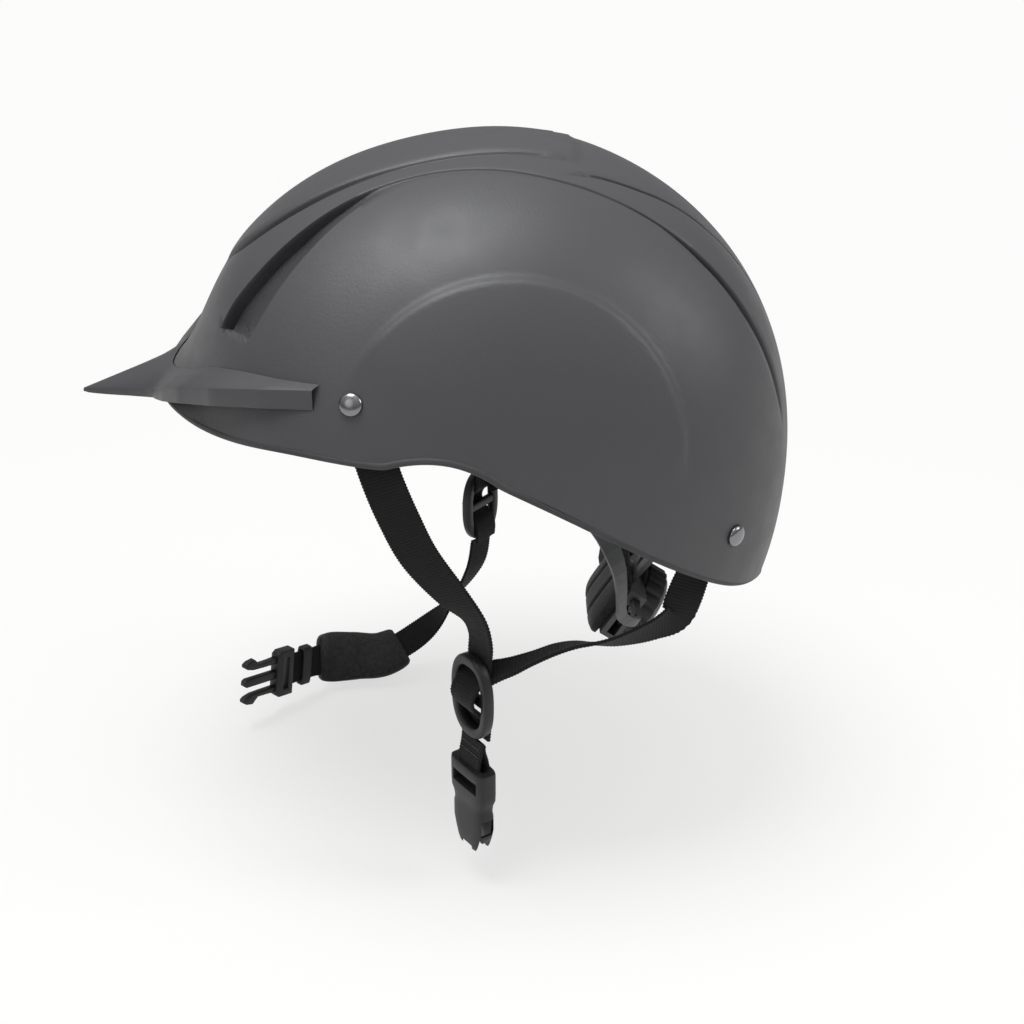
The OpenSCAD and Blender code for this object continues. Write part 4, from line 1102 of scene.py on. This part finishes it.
# Chin strap on the right, with its sleeve, keeper and plug
CHIN_ROUTE = hung([
    (0, 1, DIVIDER_FOOT - TAIL_GAP), (1, -2, -136), (5, -14, -154), (10, -29, -168), (16, -46, -176),
    (19, -60, -175.5), (25, -71, -173), (31.9, -78.1, -171.3), (43, -88, -169)], -1)
AWAY = mirrored(TURNED)
CHIN_ACROSS = [AWAY, AWAY, [-0.8, 0.3, 0.25], [-0.85, -0.1, 0.5], [-0.85, -0.2, 0.45], [-0.75, -0.2, 0.6],
               [-0.5, -0.15, 0.8], [-0.1, 0, 1], [-0.1, 0, 1]]

# The sleeve's ends, as places along the route, and its inside off the strap's middle
SLEEVE_FROM, SLEEVE_TO, SLEEVE_GAP = 3.5, 6.75, WEB_THICKNESS / 2 + 0.2


def sleeve_ring(middle, across, out, full):
    """Ring of the sleeve round the strap, from 0 at its ends to 1 where it is full."""
    half_w, front, back = WEB_WIDTH / 2 + 2 + 2.6 * full, 1.5 + 2.3 * full, 1.2
    ring = []
    for g in around(28):
        z = front * sin(g) + SLEEVE_GAP if sin(g) > 0 else back * sin(g) - SLEEVE_GAP
        ring.append(middle + across * rounded(cos(g), 0.7) * half_w + out * z)
    return ring


def make_chin():
    """Chin strap and the padded sleeve round it."""
    strap, path, u, n, place = ribbon("chin_webbing", CHIN_ROUTE, CHIN_ACROSS)
    finish_piece(strap, "tail_right", "webbing", "chin_strap_right")
    picked = np.where((place > SLEEVE_FROM) & (place < SLEEVE_TO))[0][::3]
    fullness = np.sqrt(np.maximum(0.0, 1 - np.abs(np.linspace(-1, 1, len(picked))) ** 5))
    rings = [sleeve_ring(path[i], u[i], n[i], full) for i, full in zip(picked, fullness)]
    finish_piece(swept("chin_sleeve", rings, KNIT, sharp=70), "tail_right", "pad", "chin_pad", pad=0.6)


make_chin()


# Plug half of the buckle, and the keeper
PLUG_AT = CHIN_ROUTE[-1]
PLUG_WAY = unit(CHIN_ROUTE[-1] - CHIN_ROUTE[-2])
KEEPER_BACK, KEEPER_LENGTH = 11.0, 5.0


def plug_frame(origin):
    """X along the strap, Y up across it, Z out of its face."""
    y = across_from(PLUG_WAY)
    return placed(origin, PLUG_WAY, y, np.cross(PLUG_WAY, y))


def make_plug():
    """Frame with the strap's slot, the middle guide and the two springy prongs."""
    place = plug_frame(PLUG_AT)
    w = BUCKLE_WIDTH / 2
    outline = [(0.3, -w), (8.5, -w), (10.3, -w + 1.5), (10.3, w - 1.5), (8.5, w), (0.3, w)]
    body = extruded("plug_frame", outline, 2.6, place)
    cut(body, extruded("cutter", [(3, -8), (6, -8), (6, 8), (3, 8)], 5, place))
    guide = extruded("plug_guide", [(10, -2), (27.5, -2), (29, -1), (29, 1), (27.5, 2), (10, 2)], 1.5, place)
    parts = [bevel(body, 0.5, 3), bevel(guide, 0.35)]
    prong = [(10, 5.8), (18, 5.9), (24, 6.1), (27.5, 7), (29, 8), (29, 9.4), (27, 10.6), (23.5, 11.2),
             (22, 9.6), (20.5, 8.2), (15, 8.3), (10, 8.7)]
    for side in (1, -1):
        parts.append(bevel(extruded("plug_prong", [(x, side * y) for x, y in prong], 1.6, place), 0.35))
    finish_piece(join("buckle_plug_body", parts), "tail_right", "buckle", "buckle_plug")


def make_keeper():
    """Ring that holds the strap's tail. Its outlines lie across the strap."""
    place = plug_frame(PLUG_AT - PLUG_WAY * KEEPER_BACK)
    outer, inner = oval(5.4, WEB_WIDTH + 4.4, 40, 5), oval(2.8, WEB_WIDTH + 1.6, 40, 6)
    keeper = ring_solid("keeper_body", outer, inner, KEEPER_LENGTH, GRIP,
                        lambda points: place(points[..., ::-1] + [KEEPER_LENGTH / 2, 0, 0]), 0.4)
    finish_piece(keeper, "keeper", "grip", "strap_keeper")


make_plug()
make_keeper()


# Fit dial, in a frame with Z along its shaft
DIAL_COS, DIAL_SIN = cos(radians(DIAL_TILT)), sin(radians(DIAL_TILT))
dial_place = placed((0, DIAL_Y, DIAL_Z), (1, 0, 0), (0, DIAL_COS, -DIAL_SIN), (0, DIAL_SIN, DIAL_COS))


def make_knob():
    core, top = DIAL_RADIUS - 1.9, DIAL_THICKNESS
    profile = [(0, 0), (core - 0.5, 0), (core, 0.5), (core, top), (core - 0.5, top + 0.9),
               (core - 1.6, top + 1.5), (core - 3.3, top + 1.4), (core - 3.8, top + 0.6),
               (core - 4.2, top - 0.4), (core - 6, top - 0.5), (0, top - 0.5)]
    profile = [(r, KNOB_Z + z) for r, z in profile]
    knob = lathe("dial_knob_body", profile, DIAL, 96, dial_place, sharp=50)
    finish_piece(knob, "dial", "dial_plastic", "dial_knob")


def make_grip():
    """Rubber ring round the knob, with hollows for the fingers."""
    g = around(216)
    outer = DIAL_RADIUS - 0.9 * (0.5 + 0.5 * np.cos(DIAL_HOLLOWS * g)) ** 3
    bore, top = np.full(len(g), DIAL_RADIUS - 1.8), DIAL_THICKNESS - 0.8
    layers = [(bore, 0.6), (outer - 0.4, 0.6), (outer - 0.1, 0.8), (outer, 1.3), (outer, top - 0.7),
              (outer - 0.1, top - 0.2), (outer - 0.4, top), (bore, top)]
    rings = [np.stack([r * np.cos(g), r * np.sin(g), np.full(len(g), KNOB_Z + z)], -1) for r, z in layers]
    grip = swept("dial_grip_body", dial_place(np.stack(rings, 1)), GRIP, closed=True, sharp=50)
    finish_piece(grip, "dial", "grip", "dial_grip")


# Nape pad behind the dial's housing: its back in the dial's frame, half sizes and seams
NAPE_BACK, NAPE_HALF_WIDTH, NAPE_HALF_HEIGHT, NAPE_SEAM = -4.3, 22.0, 15.0, 0.36


def make_nape_pad():
    x, y = np.meshgrid(np.linspace(-1, 1, 41), np.linspace(-1, 1, 31), indexing="ij")
    px, py = x * NAPE_HALF_WIDTH * (1 - 0.06 * y ** 6), 1 + y * NAPE_HALF_HEIGHT * (1 - 0.1 * x ** 6)
    seams = np.exp(-((np.abs(x) - NAPE_SEAM) / 0.04) ** 2)
    thick = 1.4 + 3.4 * plumpness(x, y) * (1 - 0.4 * seams)
    back, face = (np.stack([px, py, z], -1) for z in (np.full_like(px, NAPE_BACK), NAPE_BACK - thick))
    pad = between("nape_pad_body", dial_place(back), dial_place(face), KNIT, sharp=70)
    finish_piece(pad, "helmet", "pad", "nape_pad", pad=0.6)


make_knob()
make_grip()
make_nape_pad()


# Carried-over nodes get their finish
for node_name, material in (("cradle", FIT), ("dial_cover", FIT), ("pinion", GEAR), ("dial_screw", STEEL),
                            ("fit_arm_left", FIT), ("fit_arm_right", FIT), ("rivet_washers", STEEL)):
    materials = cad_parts[node_name].data.materials
    materials.clear()
    materials.append(material)


# Floor, light and camera

def on_rays(tree, *kinds):
    """Output that is 1 on rays of these kinds and 0 on others."""
    rays = tree.nodes.new("ShaderNodeLightPath")
    total = rays.outputs[kinds[0]]
    for kind in kinds[1:]:
        more = tree.nodes.new("ShaderNodeMath")
        more.operation = "ADD"
        more.use_clamp = True
        tree.links.new(total, more.inputs[0])
        tree.links.new(rays.outputs[kind], more.inputs[1])
        total = more.outputs[0]
    return total


# The floor glows less near the middle, in metres, so that the shadow shows
GLOW_FROM, GLOW_TO, GLOW_LEAST = 0.12, 0.55, 0.55


def emptied(owner):
    """Node tree of a new material or world, without its first nodes."""
    owner.use_nodes = True
    owner.node_tree.nodes.clear()
    return owner.node_tree


def floor_material():
    """White paper, which fades into the white background for the camera."""
    material = bpy.data.materials.new("floor_paper")
    tree = emptied(material)
    new, link = tree.nodes.new, tree.links.new
    out, mixer = new("ShaderNodeOutputMaterial"), new("ShaderNodeMixShader")
    paper, glow = new("ShaderNodeBsdfDiffuse"), new("ShaderNodeEmission")
    where, distance = new("ShaderNodeTexCoord"), new("ShaderNodeVectorMath")
    paper.inputs["Color"].default_value = (0.80, 0.80, 0.79, 1)
    glow.inputs["Color"].default_value = (0.97, 0.97, 0.965, 1)
    distance.operation = "LENGTH"
    link(where.outputs["Object"], distance.inputs[0])
    far = map_range(tree, distance.outputs["Value"], GLOW_FROM, GLOW_TO, GLOW_LEAST, 1.0)
    share = new("ShaderNodeMath")
    share.operation = "MULTIPLY"
    link(on_rays(tree, "Is Camera Ray", "Is Glossy Ray", "Is Transmission Ray"), share.inputs[0])
    link(far.outputs["Result"], share.inputs[1])
    link(share.outputs[0], mixer.inputs["Fac"])
    link(paper.outputs["BSDF"], mixer.inputs[1])
    link(glow.outputs["Emission"], mixer.inputs[2])
    link(mixer.outputs[0], out.inputs["Surface"])
    return material


def make_floor():
    corners = [(x * FLOOR_HALF, y * FLOOR_HALF, FLOOR_Z) for x, y in ((-1, -1), (1, -1), (1, 1), (-1, 1))]
    mesh_object("floor", corners, [[0, 1, 2, 3]], floor_material(), smooth=False)


# Strength of the studio's light from low down and from above
WORLD_LOW, WORLD_HIGH = 0.10, 0.8


def make_world():
    """White to the camera, and a light that grows with height to the rest."""
    world = bpy.data.worlds.new("studio")
    SCENE.world = world
    tree = emptied(world)
    new, link = tree.nodes.new, tree.links.new
    out, back = new("ShaderNodeOutputWorld"), new("ShaderNodeBackground")
    back.inputs["Color"].default_value = (0.98, 0.985, 0.99, 1)
    where, axes = new("ShaderNodeTexCoord"), new("ShaderNodeSeparateXYZ")
    link(where.outputs["Generated"], axes.inputs[0])
    height = map_range(tree, axes.outputs["Z"], -0.1, 0.9, WORLD_LOW, WORLD_HIGH)
    strength = map_range(tree, on_rays(tree, "Is Camera Ray", "Is Transmission Ray"), 0.0, 1.0, 0.0, 1.0)
    link(height.outputs["Result"], strength.inputs["To Min"])
    link(strength.outputs["Result"], back.inputs["Strength"])
    link(back.outputs[0], out.inputs["Surface"])


TARGET = Vector((0, -10, 0)) * MM


def aimed(name, data, place, way):
    """Object of a lamp or camera at a place, which faces a way."""
    obj = bpy.data.objects.new(name, data)
    obj.location = place
    obj.rotation_mode = "QUATERNION"
    obj.rotation_quaternion = way.to_track_quat("-Z", "Y")
    SCENE.collection.objects.link(obj)
    return obj


def make_lamp(name, place, size, power):
    """Round lamp at a place in metres, which faces the middle of the helmet."""
    data = bpy.data.lights.new(name, "AREA")
    data.energy = power
    data.shape = "DISK"
    data.size = size
    aimed(name, data, place, TARGET - Vector(place))


# Camera of the photograph
CAMERA_PLACE = Vector((641.2, 16.1, 232.3)) * MM
CAMERA_WAY = Vector((-0.9063, 0.0, -0.4226))
FOCAL_PIXELS, FRAME_PIXELS, SENSOR = 1684.0, 1024.0, 36.0


def make_camera():
    data = bpy.data.cameras.new("camera")
    data.sensor_width = SENSOR
    data.lens = FOCAL_PIXELS / FRAME_PIXELS * SENSOR
    data.clip_start, data.clip_end = 0.01, 50
    SCENE.camera = aimed("camera", data, CAMERA_PLACE, CAMERA_WAY)


make_floor()
make_world()
make_lamp("key", (0.15, -0.3, 1.4), 0.9, 18)
make_lamp("fill", (1.3, -0.7, 0.7), 0.8, 1.6)
make_lamp("back", (0.2, 1.2, 0.7), 0.6, 5)
make_camera()
SCENE.view_settings.view_transform = "Standard"
